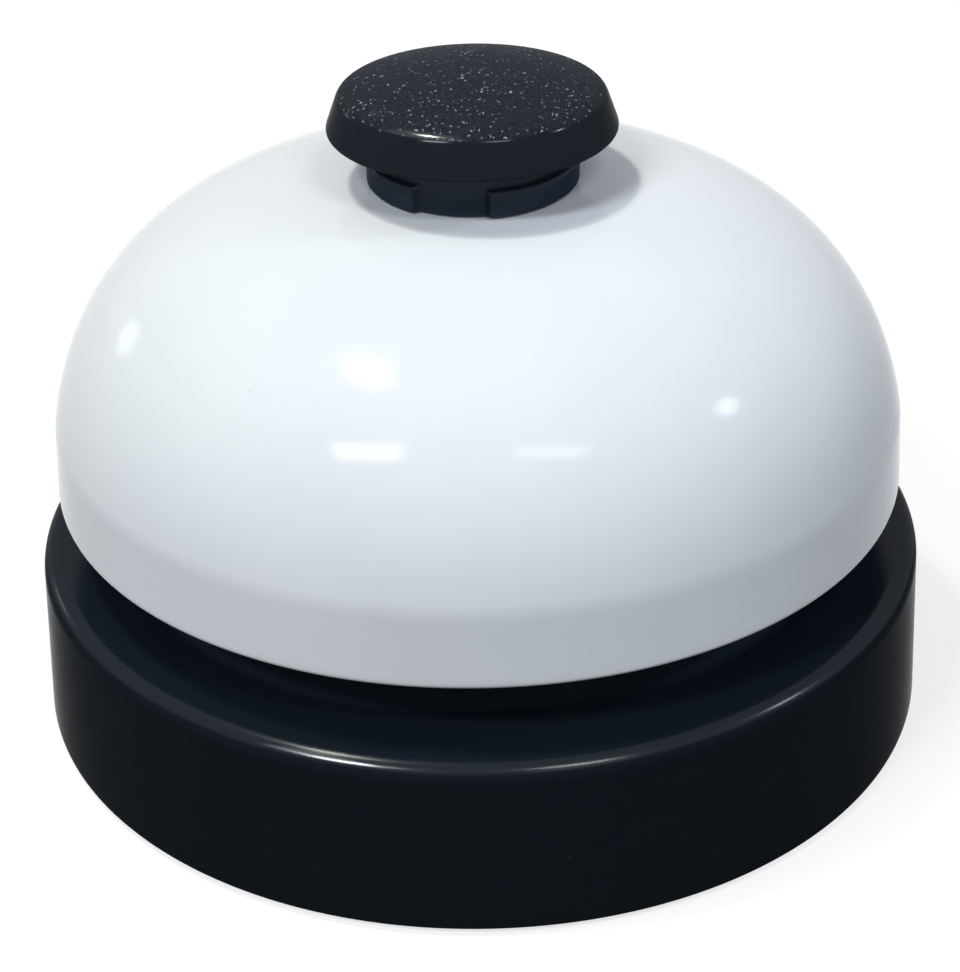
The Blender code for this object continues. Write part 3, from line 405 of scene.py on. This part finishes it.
finishes = {
    "base_plastic": glossBlack(),
    "collar_plastic": collarBlack(),
    "button_plastic": buttonBlack(),
    "cover_plastic": coverBlack(),
    "white_paint": whiteEnamel(),
    "foot_rubber": footRubber(),
    "zinc_steel": platedSteel("zincPlatedSteel", zincLook),
    "bright_steel": platedSteel("brightSteel", brightLook),
    "spring_steel": platedSteel("springSteel", wireLook),
    "red_fibre": redFibre(),
    "grey_felt": greyFelt(),
}
for entry in frame["record"]["subparts"]:
    shown = frame["nodes"][entry["node"]]
    shown.data.materials.clear()
    shown.data.materials.append(finishes[entry["material_slot"]])
print("finishes made:", len(finishes))


# Surfaces

mergeDistance = 0.0001 * mm


def gridMesh(name, grid, closedAcross=False, sharp=35):
    # grid[i, j] is a point: i runs along the profile, j round the piece, and j closes on itself;
    # edges bent by more than sharp degrees stay crisp
    rows, columns = grid.shape[:2]
    i = np.arange(rows if closedAcross else rows - 1)[:, None]
    j = np.arange(columns)[None, :]
    below = (i + 1) % rows
    beside = (j + 1) % columns
    quads = np.stack([i * columns + j, i * columns + beside, below * columns + beside,
                      below * columns + j], -1).reshape(-1, 4)
    mesh = bpy.data.meshes.new(name)
    mesh.from_pydata(grid.reshape(-1, 3), [], quads)
    shape = bmesh.new()
    shape.from_mesh(mesh)
    bmesh.ops.remove_doubles(shape, verts=shape.verts, dist=mergeDistance)
    bmesh.ops.dissolve_degenerate(shape, edges=shape.edges, dist=mergeDistance)
    bmesh.ops.recalc_face_normals(shape, faces=shape.faces)
    shape.to_mesh(mesh)
    shape.free()
    mesh.shade_smooth()
    mesh.set_sharp_from_angle(angle=np.radians(sharp))
    return mesh


def piece(name, mesh, body, slot, *nodes):
    # one visible piece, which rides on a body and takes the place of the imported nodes
    made = bpy.data.objects.new(name, mesh)
    bpy.context.scene.collection.objects.link(made)
    mesh.materials.append(finishes[slot])
    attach(made, body)
    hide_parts(*nodes)
    return made


def rounded(corners, steps):
    # corners are (radius, height, rounding) in mm; each rounded corner becomes an arc of a quadratic curve
    points = []
    count = len(corners)
    for k, (r, z, soft) in enumerate(corners):
        here = np.array([r, z], float)
        if soft == 0 or k in (0, count - 1):
            points.append(here)
            continue
        before = np.array(corners[k - 1][:2], float) - here
        after = np.array(corners[k + 1][:2], float) - here
        reachBefore = min(soft, np.linalg.norm(before) * 0.49)
        reachAfter = min(soft, np.linalg.norm(after) * 0.49)
        first = here + before / np.linalg.norm(before) * reachBefore
        last = here + after / np.linalg.norm(after) * reachAfter
        t = np.linspace(0, 1, steps + 1)[:, None]
        points.extend((1 - t) ** 2 * first + 2 * t * (1 - t) * here + t * t * last)
    return np.array(points)


def revolved(profile, steps):
    # the profile's (radius, height) in mm carried once round the Z axis
    angle = np.linspace(0, 2 * np.pi, steps, endpoint=False)
    r, z = profile[:, 0:1] * mm, profile[:, 1:2] * mm
    return np.stack([r * np.cos(angle), r * np.sin(angle), z + 0 * angle], -1)


def circles(rings, steps):
    # rings are (middle x, radius, height) in mm: circles whose middles may move along X
    angle = np.linspace(0, 2 * np.pi, steps, endpoint=False)
    x, r, z = (rings[:, k:k + 1] * mm for k in range(3))
    return np.stack([x + r * np.cos(angle), r * np.sin(angle), z + 0 * angle], -1)


# Gong

def gongOutline(look):
    # outer side in mm, from the post hole outwards and down: flat land, dome, crease, skirt;
    # the dome is an ellipse whose cosine and sine are raised to a power each
    middle = look["edgeHeight"] - look["drop"]
    domeAngle = lambda z: np.arcsin(((z - middle) / look["rise"]) ** (1 / look["crownPower"]))
    low = domeAngle(look["creaseHeight"])
    high = domeAngle(look["landHeight"] - look["ease"])
    t = np.linspace(high, low, look["domeSteps"])
    dome = np.stack([look["domeRadius"] * np.cos(t) ** look["sidePower"],
                     middle + look["rise"] * np.sin(t) ** look["crownPower"]], -1)
    slope = (dome[1] - dome[0])[1] / (dome[1] - dome[0])[0]
    corner = np.array([dome[0, 0] + (look["landHeight"] - dome[0, 1]) / slope, look["landHeight"]])
    start = np.array([2 * corner[0] - dome[0, 0], look["landHeight"]])
    s = np.linspace(0, 1, look["easeSteps"], endpoint=False)[:, None]
    ease = (1 - s) ** 2 * start + 2 * s * (1 - s) * corner + s * s * dome[0]
    land = np.linspace(look["bore"], start[0], look["landSteps"], endpoint=False)
    land = np.stack([land, np.full(len(land), look["landHeight"])], -1)
    edge = np.array([look["edgeRadius"], look["edgeHeight"]])
    down = (edge - dome[-1]) / np.linalg.norm(edge - dome[-1])
    turnIn = dome[-1] - (dome[-1] - dome[-2]) / np.linalg.norm(dome[-1] - dome[-2]) * look["creaseSoft"]
    turnOut = dome[-1] + down * look["creaseSoft"]
    s = np.linspace(0, 1, look["creaseSteps"])[:, None]
    crease = (1 - s) ** 2 * turnIn + 2 * s * (1 - s) * dome[-1] + s * s * turnOut
    dome = dome[dome[:, 1] > turnIn[1] + 0.05]
    s = np.linspace(0, 1, look["skirtSteps"])[1:, None]
    lipTop = edge - down * look["wall"] / 2
    skirt = turnOut + (lipTop - turnOut) * s
    return np.concatenate([land, ease, dome, crease, skirt])


def gongProfile(look):
    # the outline, a half-round lip, and the same outline one wall further in
    outer = gongOutline(look)
    along = np.gradient(outer, axis=0)
    along /= np.linalg.norm(along, axis=1)[:, None]
    inward = np.stack([along[:, 1], -along[:, 0]], -1)
    inner = outer + inward * look["wall"]
    inner[0, 0] = look["bore"]
    t = np.linspace(0, np.pi, look["lipSteps"])[1:-1, None]
    middle = (outer[-1] + inner[-1]) / 2
    lip = middle + (outer[-1] - middle) * np.cos(t) + along[-1] * look["wall"] / 2 * np.sin(t)
    return np.concatenate([outer, lip, inner[::-1]])


gongLook = {"bore": 5.3, "landHeight": 51.15, "ease": 0.5, "edgeRadius": 39.6, "edgeHeight": 23.3,
            "domeRadius": 39.95, "rise": 30.93, "drop": 2.48, "sidePower": 0.6884, "crownPower": 0.8061,
            "creaseHeight": 30.2, "creaseSoft": 0.7, "wall": 1.0, "landSteps": 6, "easeSteps": 12,
            "domeSteps": 110, "creaseSteps": 9, "skirtSteps": 13, "lipSteps": 14, "round": 288}
gongGrid = revolved(gongProfile(gongLook), gongLook["round"])
piece("gongShell", gridMesh("gongShell", gongGrid, True), "base", "white_paint", "gong")
print("gong made")


# Base housing

def baseRings(look):
    # rings from the pocket's floor up and out over the deck and the rim, down the wall, back in below
    # the deck and down round the pocket; between pocket and wall their middles slide from one to the other
    pocket, deck = look["pocketX"], look["deck"]
    pocketRadius, pocketFloor = look["pocketRadius"], look["pocketFloor"]
    last = pocketRadius + look["pocketEdge"]
    up = rounded([(0, pocketFloor, 0), (pocketRadius, pocketFloor, 0.3), (pocketRadius, deck, 0.25),
                  (last, deck, 0)], 4)
    rings = [np.stack([np.full(len(up), pocket), up[:, 0], up[:, 1]], -1)]
    s = np.linspace(0, 1, 30)[1:-1]
    flat = look["topRadius"] - look["rim"]
    rings.append(np.stack([pocket * (1 - s), last + (flat - last) * s, np.full(len(s), deck)], -1))
    t = np.linspace(np.pi / 2, 0, 22)
    rim = np.stack([flat + look["rim"] * np.cos(t), deck - look["rim"] + look["rim"] * np.sin(t)], -1)
    inner = look["topRadius"] - look["wall"]
    low = rounded([tuple(rim[-1]) + (0,), (look["radius"], look["foot"], 0.45),
                   (look["radius"] - look["wall"], look["foot"], 0.3), (inner, look["under"], 0.4),
                   (inner - 1, look["under"], 0)], 6)
    wall = np.concatenate([rim, rim[-1] + (low[1] - rim[-1]) * np.linspace(0, 1, 12)[1:-1, None], low[1:]])
    rings.append(np.stack([np.zeros(len(wall)), wall[:, 0], wall[:, 1]], -1))
    boss = pocketRadius + look["bossWall"]
    s = np.linspace(0, 1, 14)[1:-1]
    below = inner - 1 + (boss + 0.5 - inner + 1) * s
    rings.append(np.stack([pocket * s, below, np.full(len(s), look["under"])], -1))
    bossEnd = pocketFloor - look["bossWall"]
    down = rounded([(boss + 0.5, look["under"], 0), (boss, look["under"], 0.4), (boss, bossEnd, 0.4),
                    (0, bossEnd, 0)], 4)
    rings.append(np.stack([np.full(len(down), pocket), down[:, 0], down[:, 1]], -1))
    return np.concatenate(rings)


baseLook = {"deck": 17.0, "under": 14.8, "foot": 0.6, "radius": 42.5, "topRadius": 41.8, "rim": 1.8,
            "wall": 2.2, "pocketX": 30.16, "pocketRadius": 5.3, "pocketEdge": 0.6, "pocketFloor": 13.6,
            "bossWall": 2.0, "round": 288}
baseGrid = circles(baseRings(baseLook), baseLook["round"])
piece("baseShell", gridMesh("baseShell", baseGrid, sharp=50), "base", "base_plastic", "base_housing")
print("base made")


# Collar nut

def collarGrid(look):
    # the core's profile, whose ridged part stands further out where the ridge wave is 1;
    # round the ring the wave rises and falls smoothly across each ridge's flanks
    middles = np.radians(look["firstRidge"] + 120 * np.arange(3))
    half = np.radians(look["ridgeAngle"] / 2)
    flank = np.radians(look["flank"])
    edges = (middles[:, None] + half * np.array([-1, 1])).ravel()
    near = (edges[:, None] + np.linspace(-1.6, 1.6, 15) * flank).ravel()
    even = np.linspace(0, 2 * np.pi, look["round"], endpoint=False)
    angle = np.unique(np.round(np.mod(np.concatenate([even, near]), 2 * np.pi), 5))
    off = np.abs((angle[:, None] - middles + np.pi) % (2 * np.pi) - np.pi).min(1)
    s = np.clip((half + flank / 2 - off) / flank, 0, 1)
    wave = s * s * (3 - 2 * s)
    core, out = look["core"], look["ridge"] - look["core"]
    outer = rounded([(look["bore"], look["top"], 0.15), (core, look["top"], 0.3),
                     (core, look["ridgeTop"], 0.12), (core + out, look["ridgeTop"], 0.28),
                     (core + out, look["low"], 0.25), (look["bore"], look["low"], 0.1)], 5)
    share = np.clip((outer[:, 0] - core) / out, 0, 1)
    base = np.minimum(outer[:, 0], core)
    r = (base[:, None] + out * share[:, None] * wave) * mm
    z = outer[:, 1:2] * mm + 0 * angle
    return np.stack([r * np.cos(angle), r * np.sin(angle), z], -1)


collarLook = {"bore": 5.3, "core": 8.8, "ridge": 9.52, "low": 51.45, "ridgeTop": 53.75, "top": 55.15,
              "firstRidge": -42.7, "ridgeAngle": 79, "flank": 2.5, "round": 180}
collarMesh = gridMesh("collarRing", collarGrid(collarLook), True, 45)
piece("collarRing", collarMesh, "base", "collar_plastic", "collar_nut")
print("collar made")


# Push button

def buttonProfile(look):
    # power-law crown, soft shoulder, sloping side, round lip, then the hollow and its boss
    r = np.linspace(0, look["crownRadius"], 60)[:-8]
    fall = look["crownDrop"] * (r / look["crownRadius"]) ** look["crownPower"]
    crown = np.stack([r, look["top"] - fall], -1)
    shoulder = look["top"] - look["crownDrop"]
    lipInside = look["radius"] - look["lipWidth"]
    side = rounded([tuple(crown[-1]) + (0,), (look["crownRadius"], shoulder, 0.8),
                    (look["radius"], look["lip"], 0.3), (lipInside, look["under"], 0.25),
                    (look["bore"], look["under"], 0.2), (look["bore"], look["ceiling"], 0.4),
                    (look["boss"], look["ceiling"], 0.3), (look["boss"], look["bossEnd"], 0.2),
                    (look["hole"], look["bossEnd"], 0.2), (look["hole"], look["ceiling"], 0),
                    (0, look["ceiling"], 0)], 9)
    return np.concatenate([crown, side[1:]])


buttonLook = {"top": 61.3, "crownRadius": 11.8, "crownDrop": 1.6, "crownPower": 2.2, "radius": 13.0,
              "lip": 56.4, "lipWidth": 0.35, "under": 56.05, "bore": 10.1, "ceiling": 58.95, "boss": 3.6,
              "bossEnd": 55.55, "hole": 2.3, "round": 224}
buttonGrid = revolved(buttonProfile(buttonLook), buttonLook["round"])
piece("buttonCap", gridMesh("buttonCap", buttonGrid), "plunger", "button_plastic", "push_button")
print("button made")


# Feet, screws and spring

def footGrid(look, middle):
    # a soft-edged disc with a shallow moulded ring on its underside
    out, into, deep = look["ringOut"], look["ringIn"], look["ringDepth"]
    slope = look["ringSlope"]
    profile = rounded([(0, look["top"], 0), (look["radius"], look["top"], 0.15), (look["radius"], 0, 0.6),
                       (out, 0, 0.1), (out - slope, deep, 0.1), (into + slope, deep, 0.1), (into, 0, 0.1),
                       (0, 0, 0)], 6)
    return revolved(profile, look["round"]) + np.array([*middle, 0])


footLook = {"circle": 30.0, "radius": 5.0, "top": 1.8, "ringOut": 3.9, "ringIn": 3.1, "ringDepth": 0.18,
            "ringSlope": 0.25, "round": 72}
for k in range(4):
    turn = np.pi / 4 + k * np.pi / 2
    middle = footLook["circle"] * mm * np.array([np.cos(turn), np.sin(turn)])
    foot = gridMesh(f"footPad{k + 1}", footGrid(footLook, middle))
    piece(f"footPad{k + 1}", foot, "base", "foot_rubber", f"rubber_foot_{k + 1}")


def screwGrid(look, length, middle, height, upright):
    # a domed head over polar rings, sunk where the cross recess is, then the shank and its tip;
    # upright is 1 for a head that faces up and -1 for one that faces down
    angle = np.linspace(0, 2 * np.pi, look["round"], endpoint=False)
    r = np.linspace(0, look["head"], 60)[:, None]
    x, y = r * np.cos(angle), r * np.sin(angle)
    dome = look["rise"] * np.sqrt(np.clip(1 - (r / look["head"]) ** 2, 0, 1)) + 0 * angle
    soft = lambda value, edge: np.clip((edge - np.abs(value)) / look["recessSlope"] + 0.5, 0, 1)
    arm = look["recessLength"] / 2
    slot = look["recess"] / 2
    cross = np.maximum(soft(x, arm) * soft(y, slot), soft(y, arm) * soft(x, slot))
    z = dome - cross * np.clip(dome - (look["rise"] - look["deep"]), 0, None)
    top = np.stack([x, y, z], -1)
    low = rounded([(look["head"], 0, 0), (look["shank"], 0, 0.1), (look["shank"], look["tip"] - length, 0.2),
                   (0, -length, 0)], 4)
    under = revolved(low[1:], look["round"]) / mm
    grid = np.concatenate([top, under]) * (1, upright, upright) * mm
    return grid + np.array([middle[0] * mm, middle[1] * mm, height * mm])


screwLook = {"head": 2.4, "rise": 1.1, "recess": 0.6, "recessLength": 2.4, "recessSlope": 0.08, "deep": 0.5,
             "shank": 1.3, "tip": 1.2, "round": 144}
coverScrews = {"length": 10.5, "height": 1.8, "places": [(0, 24), (-20.785, -12), (20.785, -12)]}
for k, middle in enumerate(coverScrews["places"]):
    name = f"coverScrew{k + 1}"
    grid = screwGrid(screwLook, coverScrews["length"], middle, coverScrews["height"], -1)
    piece(name, gridMesh(name, grid), "base", "zinc_steel", f"cover_screw_{k + 1}")
bracketScrews = {"length": 10.6, "height": 19.2, "places": [(-3, -12.8), (-3, 12.8), (8, -12.8), (8, 12.8)]}
for k, middle in enumerate(bracketScrews["places"]):
    name = f"bracketScrew{k + 1}"
    grid = screwGrid(screwLook, bracketScrews["length"], middle, bracketScrews["height"], 1)
    piece(name, gridMesh(name, grid), "base", "zinc_steel", f"bracket_screw_{k + 1}")


def coilGrid(look):
    # a round wire carried along a helix whose end turns lie almost flat
    t = np.linspace(0, 1, look["along"])
    turns = look["turns"] * 2 * np.pi * t
    ends = look["closed"] / look["turns"]
    climb = np.clip((t - ends) / (1 - 2 * ends), 0, 1)
    wire = look["wire"]
    low, high = look["low"] + wire / 2, look["high"] - wire / 2
    closedRise = look["closed"] * wire * look["closedPitch"]
    flat = np.clip(t / ends, 0, 1) + np.clip((t - 1 + ends) / ends, 0, 1)
    z = low + closedRise * flat + (high - low - 2 * closedRise) * climb
    centre = np.stack([look["radius"] * np.cos(turns), look["radius"] * np.sin(turns), z], -1)
    along = np.gradient(centre, axis=0)
    along /= np.linalg.norm(along, axis=1)[:, None]
    outward = np.stack([np.cos(turns), np.sin(turns), 0 * t], -1)
    upward = np.cross(along, outward)
    angle = np.linspace(0, 2 * np.pi, look["across"], endpoint=False)[None, :, None]
    ring = outward[:, None] * np.cos(angle) + upward[:, None] * np.sin(angle)
    caps = np.stack([centre[0], centre[-1]])[:, None] + np.zeros((2, look["across"], 3))
    tube = centre[:, None] + ring * wire / 2
    return np.concatenate([caps[:1], tube, caps[1:]]) * mm


springLook = {"radius": 3.0, "wire": 0.6, "low": 44.15, "high": 54.35, "turns": 6.0, "closed": 0.9,
              "closedPitch": 1.02, "along": 480, "across": 12}
springMesh = gridMesh("springCoil", coilGrid(springLook), sharp=60)
spring = piece("springCoil", springMesh, "base", "spring_steel", "return_spring")
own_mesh(spring)


def ballGrid(look):
    # a ball with a drilled flat, turned so that the flat faces up along the arm's end
    flat = np.sqrt(look["radius"] ** 2 - look["flat"] ** 2)
    t = np.linspace(np.arcsin(flat / look["radius"]), -np.pi / 2, 60)
    ball = look["radius"] * np.stack([np.cos(t), np.sin(t)], -1)
    drilled = rounded([(0, look["boreEnd"], 0), (look["bore"], look["boreEnd"], 0.1),
                       (look["bore"], flat, 0.1), (look["flat"], flat, 0.15), tuple(ball[6]) + (0,)], 4)
    local = revolved(np.concatenate([drilled, ball[7:]]), look["round"])
    back = np.array(look["back"])
    side = np.array([back[2], 0, -back[0]])
    turned = local[..., :1] * side + local[..., 1:2] * (0, 1, 0) + local[..., 2:] * back
    return turned + np.array(look["place"]) * mm


ballLook = {"radius": 3.5, "flat": 2.1, "bore": 1.5, "boreEnd": 0.5, "back": (-0.6294, 0, 0.7771),
            "place": (30.16, 0, 18.7), "round": 96}
piece("hammerBall", gridMesh("hammerBall", ballGrid(ballLook)), "striker", "bright_steel", "hammer_head")
print("feet, screws, spring and hammer made")


# Floor, lamps and camera

def seenDirectly(tree):
    # 1 for rays from the camera, off a mirror or through something clear, 0 for light on its way to the bell
    path = tree.nodes.new("ShaderNodeLightPath")
    camera, mirror, clear = (Wire(tree, path.outputs[f"Is {ray} Ray"])
                             for ray in ("Camera", "Glossy", "Transmission"))
    return camera | mirror | clear


def studioWorld(look):
    # a dim tinted sky lights the bell, while the camera and mirrors see a white one
    world = bpy.data.worlds.new("studio")
    bpy.context.scene.world = world
    world.use_nodes = True
    nodes, links = world.node_tree.nodes, world.node_tree.links
    nodes.clear()
    seen = seenDirectly(world.node_tree)
    soft = nodes.new("ShaderNodeBackground")
    soft.inputs["Color"].default_value = (*look["worldTint"], 1)
    soft.inputs["Strength"].default_value = look["worldStrength"]
    white = nodes.new("ShaderNodeBackground")
    white.inputs["Color"].default_value = (1, 1, 1, 1)
    white.inputs["Strength"].default_value = 1
    both = nodes.new("ShaderNodeMixShader")
    links.new(seen.socket, both.inputs[0])
    links.new(soft.outputs[0], both.inputs[1])
    links.new(white.outputs[0], both.inputs[2])
    links.new(both.outputs[0], nodes.new("ShaderNodeOutputWorld").inputs[0])


def studioFloor(look):
    # grey card under the bell, which camera and mirror rays see as white paper with a soft shadow
    half = look["floorHalf"]
    corners = [(-half, -half, 0), (half, -half, 0), (half, half, 0), (-half, half, 0)]
    mesh = bpy.data.meshes.new("floor")
    mesh.from_pydata(corners, [], [(0, 1, 2, 3)])
    floor = bpy.data.objects.new("floor", mesh)
    bpy.context.scene.collection.objects.link(floor)
    card = bpy.data.materials.new("floorCard")
    card.use_nodes = True
    mesh.materials.append(card)
    nodes, links = card.node_tree.nodes, card.node_tree.links
    nodes.clear()
    seen = seenDirectly(card.node_tree)
    dull = nodes.new("ShaderNodeBsdfDiffuse")
    dull.inputs["Color"].default_value = (*[look["floorCard"]] * 3, 1)
    pale = nodes.new("ShaderNodeBsdfDiffuse")
    pale.inputs["Color"].default_value = (*[look["floorPaper"]] * 3, 1)
    light = nodes.new("ShaderNodeEmission")
    light.inputs["Strength"].default_value = look["floorGlow"]
    lit = nodes.new("ShaderNodeAddShader")
    both = nodes.new("ShaderNodeMixShader")
    links.new(pale.outputs[0], lit.inputs[0])
    links.new(light.outputs[0], lit.inputs[1])
    links.new(seen.socket, both.inputs[0])
    links.new(dull.outputs[0], both.inputs[1])
    links.new(lit.outputs[0], both.inputs[2])
    links.new(both.outputs[0], nodes.new("ShaderNodeOutputMaterial").inputs[0])


def lamp(name, look):
    # an area lamp that the bell sees in direction way, wide and tall in degrees, along being the way
    # its width runs; radiance is how bright its face looks from there
    away = studioLook["lampsAway"]
    back = Vector(look["way"]).normalized()
    along = Vector(look["along"])
    side = along - back * back.dot(along)
    side.normalize()
    light = bpy.data.lights.new(name, "AREA")
    light.shape = look.get("shape", "RECTANGLE")
    light.size = 2 * away * np.tan(np.radians(look["wide"] / 2))
    light.size_y = 2 * away * np.tan(np.radians(look["tall"] / 2))
    area = light.size * light.size_y * (np.pi / 4 if light.shape in ("DISK", "ELLIPSE") else 1)
    light.energy = look["radiance"] * np.pi * area
    light.color = look["tint"]
    holder = bpy.data.objects.new(name, light)
    turn = Matrix((side, back.cross(side), back)).transposed().to_4x4()
    holder.matrix_world = Matrix.Translation(Vector((0, 0, studioLook["aimHeight"])) + back * away) @ turn
    holder.visible_glossy = look.get("mirrored", True)
    bpy.context.scene.collection.objects.link(holder)


studioLook = {"worldStrength": 0.16, "worldTint": (0.93, 0.97, 1.0), "floorHalf": 3.0, "floorCard": 0.12,
              "floorPaper": 0.34, "floorGlow": 0.72, "lampsAway": 1.2, "aimHeight": 0.045}
lamps = {
    "keyLamp": {"way": (-0.326, 0.009, 0.945), "along": (1, 0, 0.3), "wide": 3.4, "tall": 3.4,
                "radiance": 190.0, "tint": (1, 1, 0.93), "shape": "DISK"},
    "keyHalo": {"way": (-0.333, -0.013, 0.943), "along": (1, 0, 0.3), "wide": 9, "tall": 16,
                "radiance": 24.0, "tint": (1, 1.02, 0.9), "shape": "ELLIPSE"},
    "leftStrip": {"way": (-0.423, -0.547, 0.722), "along": (0.273, -0.091, 0.094), "wide": 16, "tall": 7,
                  "radiance": 39.5, "tint": (0.92, 0.98, 1.06)},
    "rightStrip": {"way": (0.287, -0.598, 0.748), "along": (0.284, 0.049, -0.076), "wide": 16, "tall": 4,
                   "radiance": 30.0, "tint": (0.96, 1, 1.02)},
    "frontFill": {"way": (0, -0.93, 0.37), "along": (1, 0, 0), "wide": 70, "tall": 12,
                  "radiance": 0.9, "tint": (0.93, 0.98, 1.04), "mirrored": False},
    "rightSpot": {"way": (0.828, -0.092, 0.553), "along": (0.1, 1, 0), "wide": 6.3, "tall": 6.3,
                  "radiance": 51.0, "tint": (0.86, 0.94, 1.16), "shape": "DISK"},
    "backSpot": {"way": (-0.785, 0.584, 0.207), "along": (0.6, 0.75, 0), "wide": 8.5, "tall": 8.5,
                 "radiance": 5.8, "tint": (0.95, 1, 1), "shape": "DISK"},
}
studioWorld(studioLook)
studioFloor(studioLook)
for name, look in lamps.items():
    lamp(name, look)


def photoCamera(look):
    # aimed by elevation and azimuth, then rolled about its own axis
    data = bpy.data.cameras.new("photoCamera")
    data.lens = look["focal"]
    data.sensor_width = look["sensor"]
    data.clip_start, data.clip_end = look["sees"]
    camera = bpy.data.objects.new("photoCamera", data)
    bpy.context.scene.collection.objects.link(camera)
    elevation, azimuth, roll = np.radians([look["elevation"], look["azimuth"], look["roll"]])
    forward = Vector((np.sin(azimuth) * np.cos(elevation), np.cos(azimuth) * np.cos(elevation),
                      -np.sin(elevation)))
    level = Vector((np.cos(azimuth), -np.sin(azimuth), 0))
    over = level.cross(forward)
    right = level * np.cos(roll) + over * np.sin(roll)
    up = over * np.cos(roll) - level * np.sin(roll)
    turn = Matrix((right, up, -forward)).transposed().to_4x4()
    camera.matrix_world = Matrix.Translation(look["place"]) @ turn
    bpy.context.scene.camera = camera


cameraLook = {"place": (0, -0.19435, 0.13218), "elevation": 30.12, "azimuth": 0.022, "roll": -1.093,
              "focal": 86.484, "sensor": 36, "sees": (0.01, 20)}
photoCamera(cameraLook)
bpy.context.scene.view_settings.view_transform = "Standard"
print("stage, lamps and camera made")
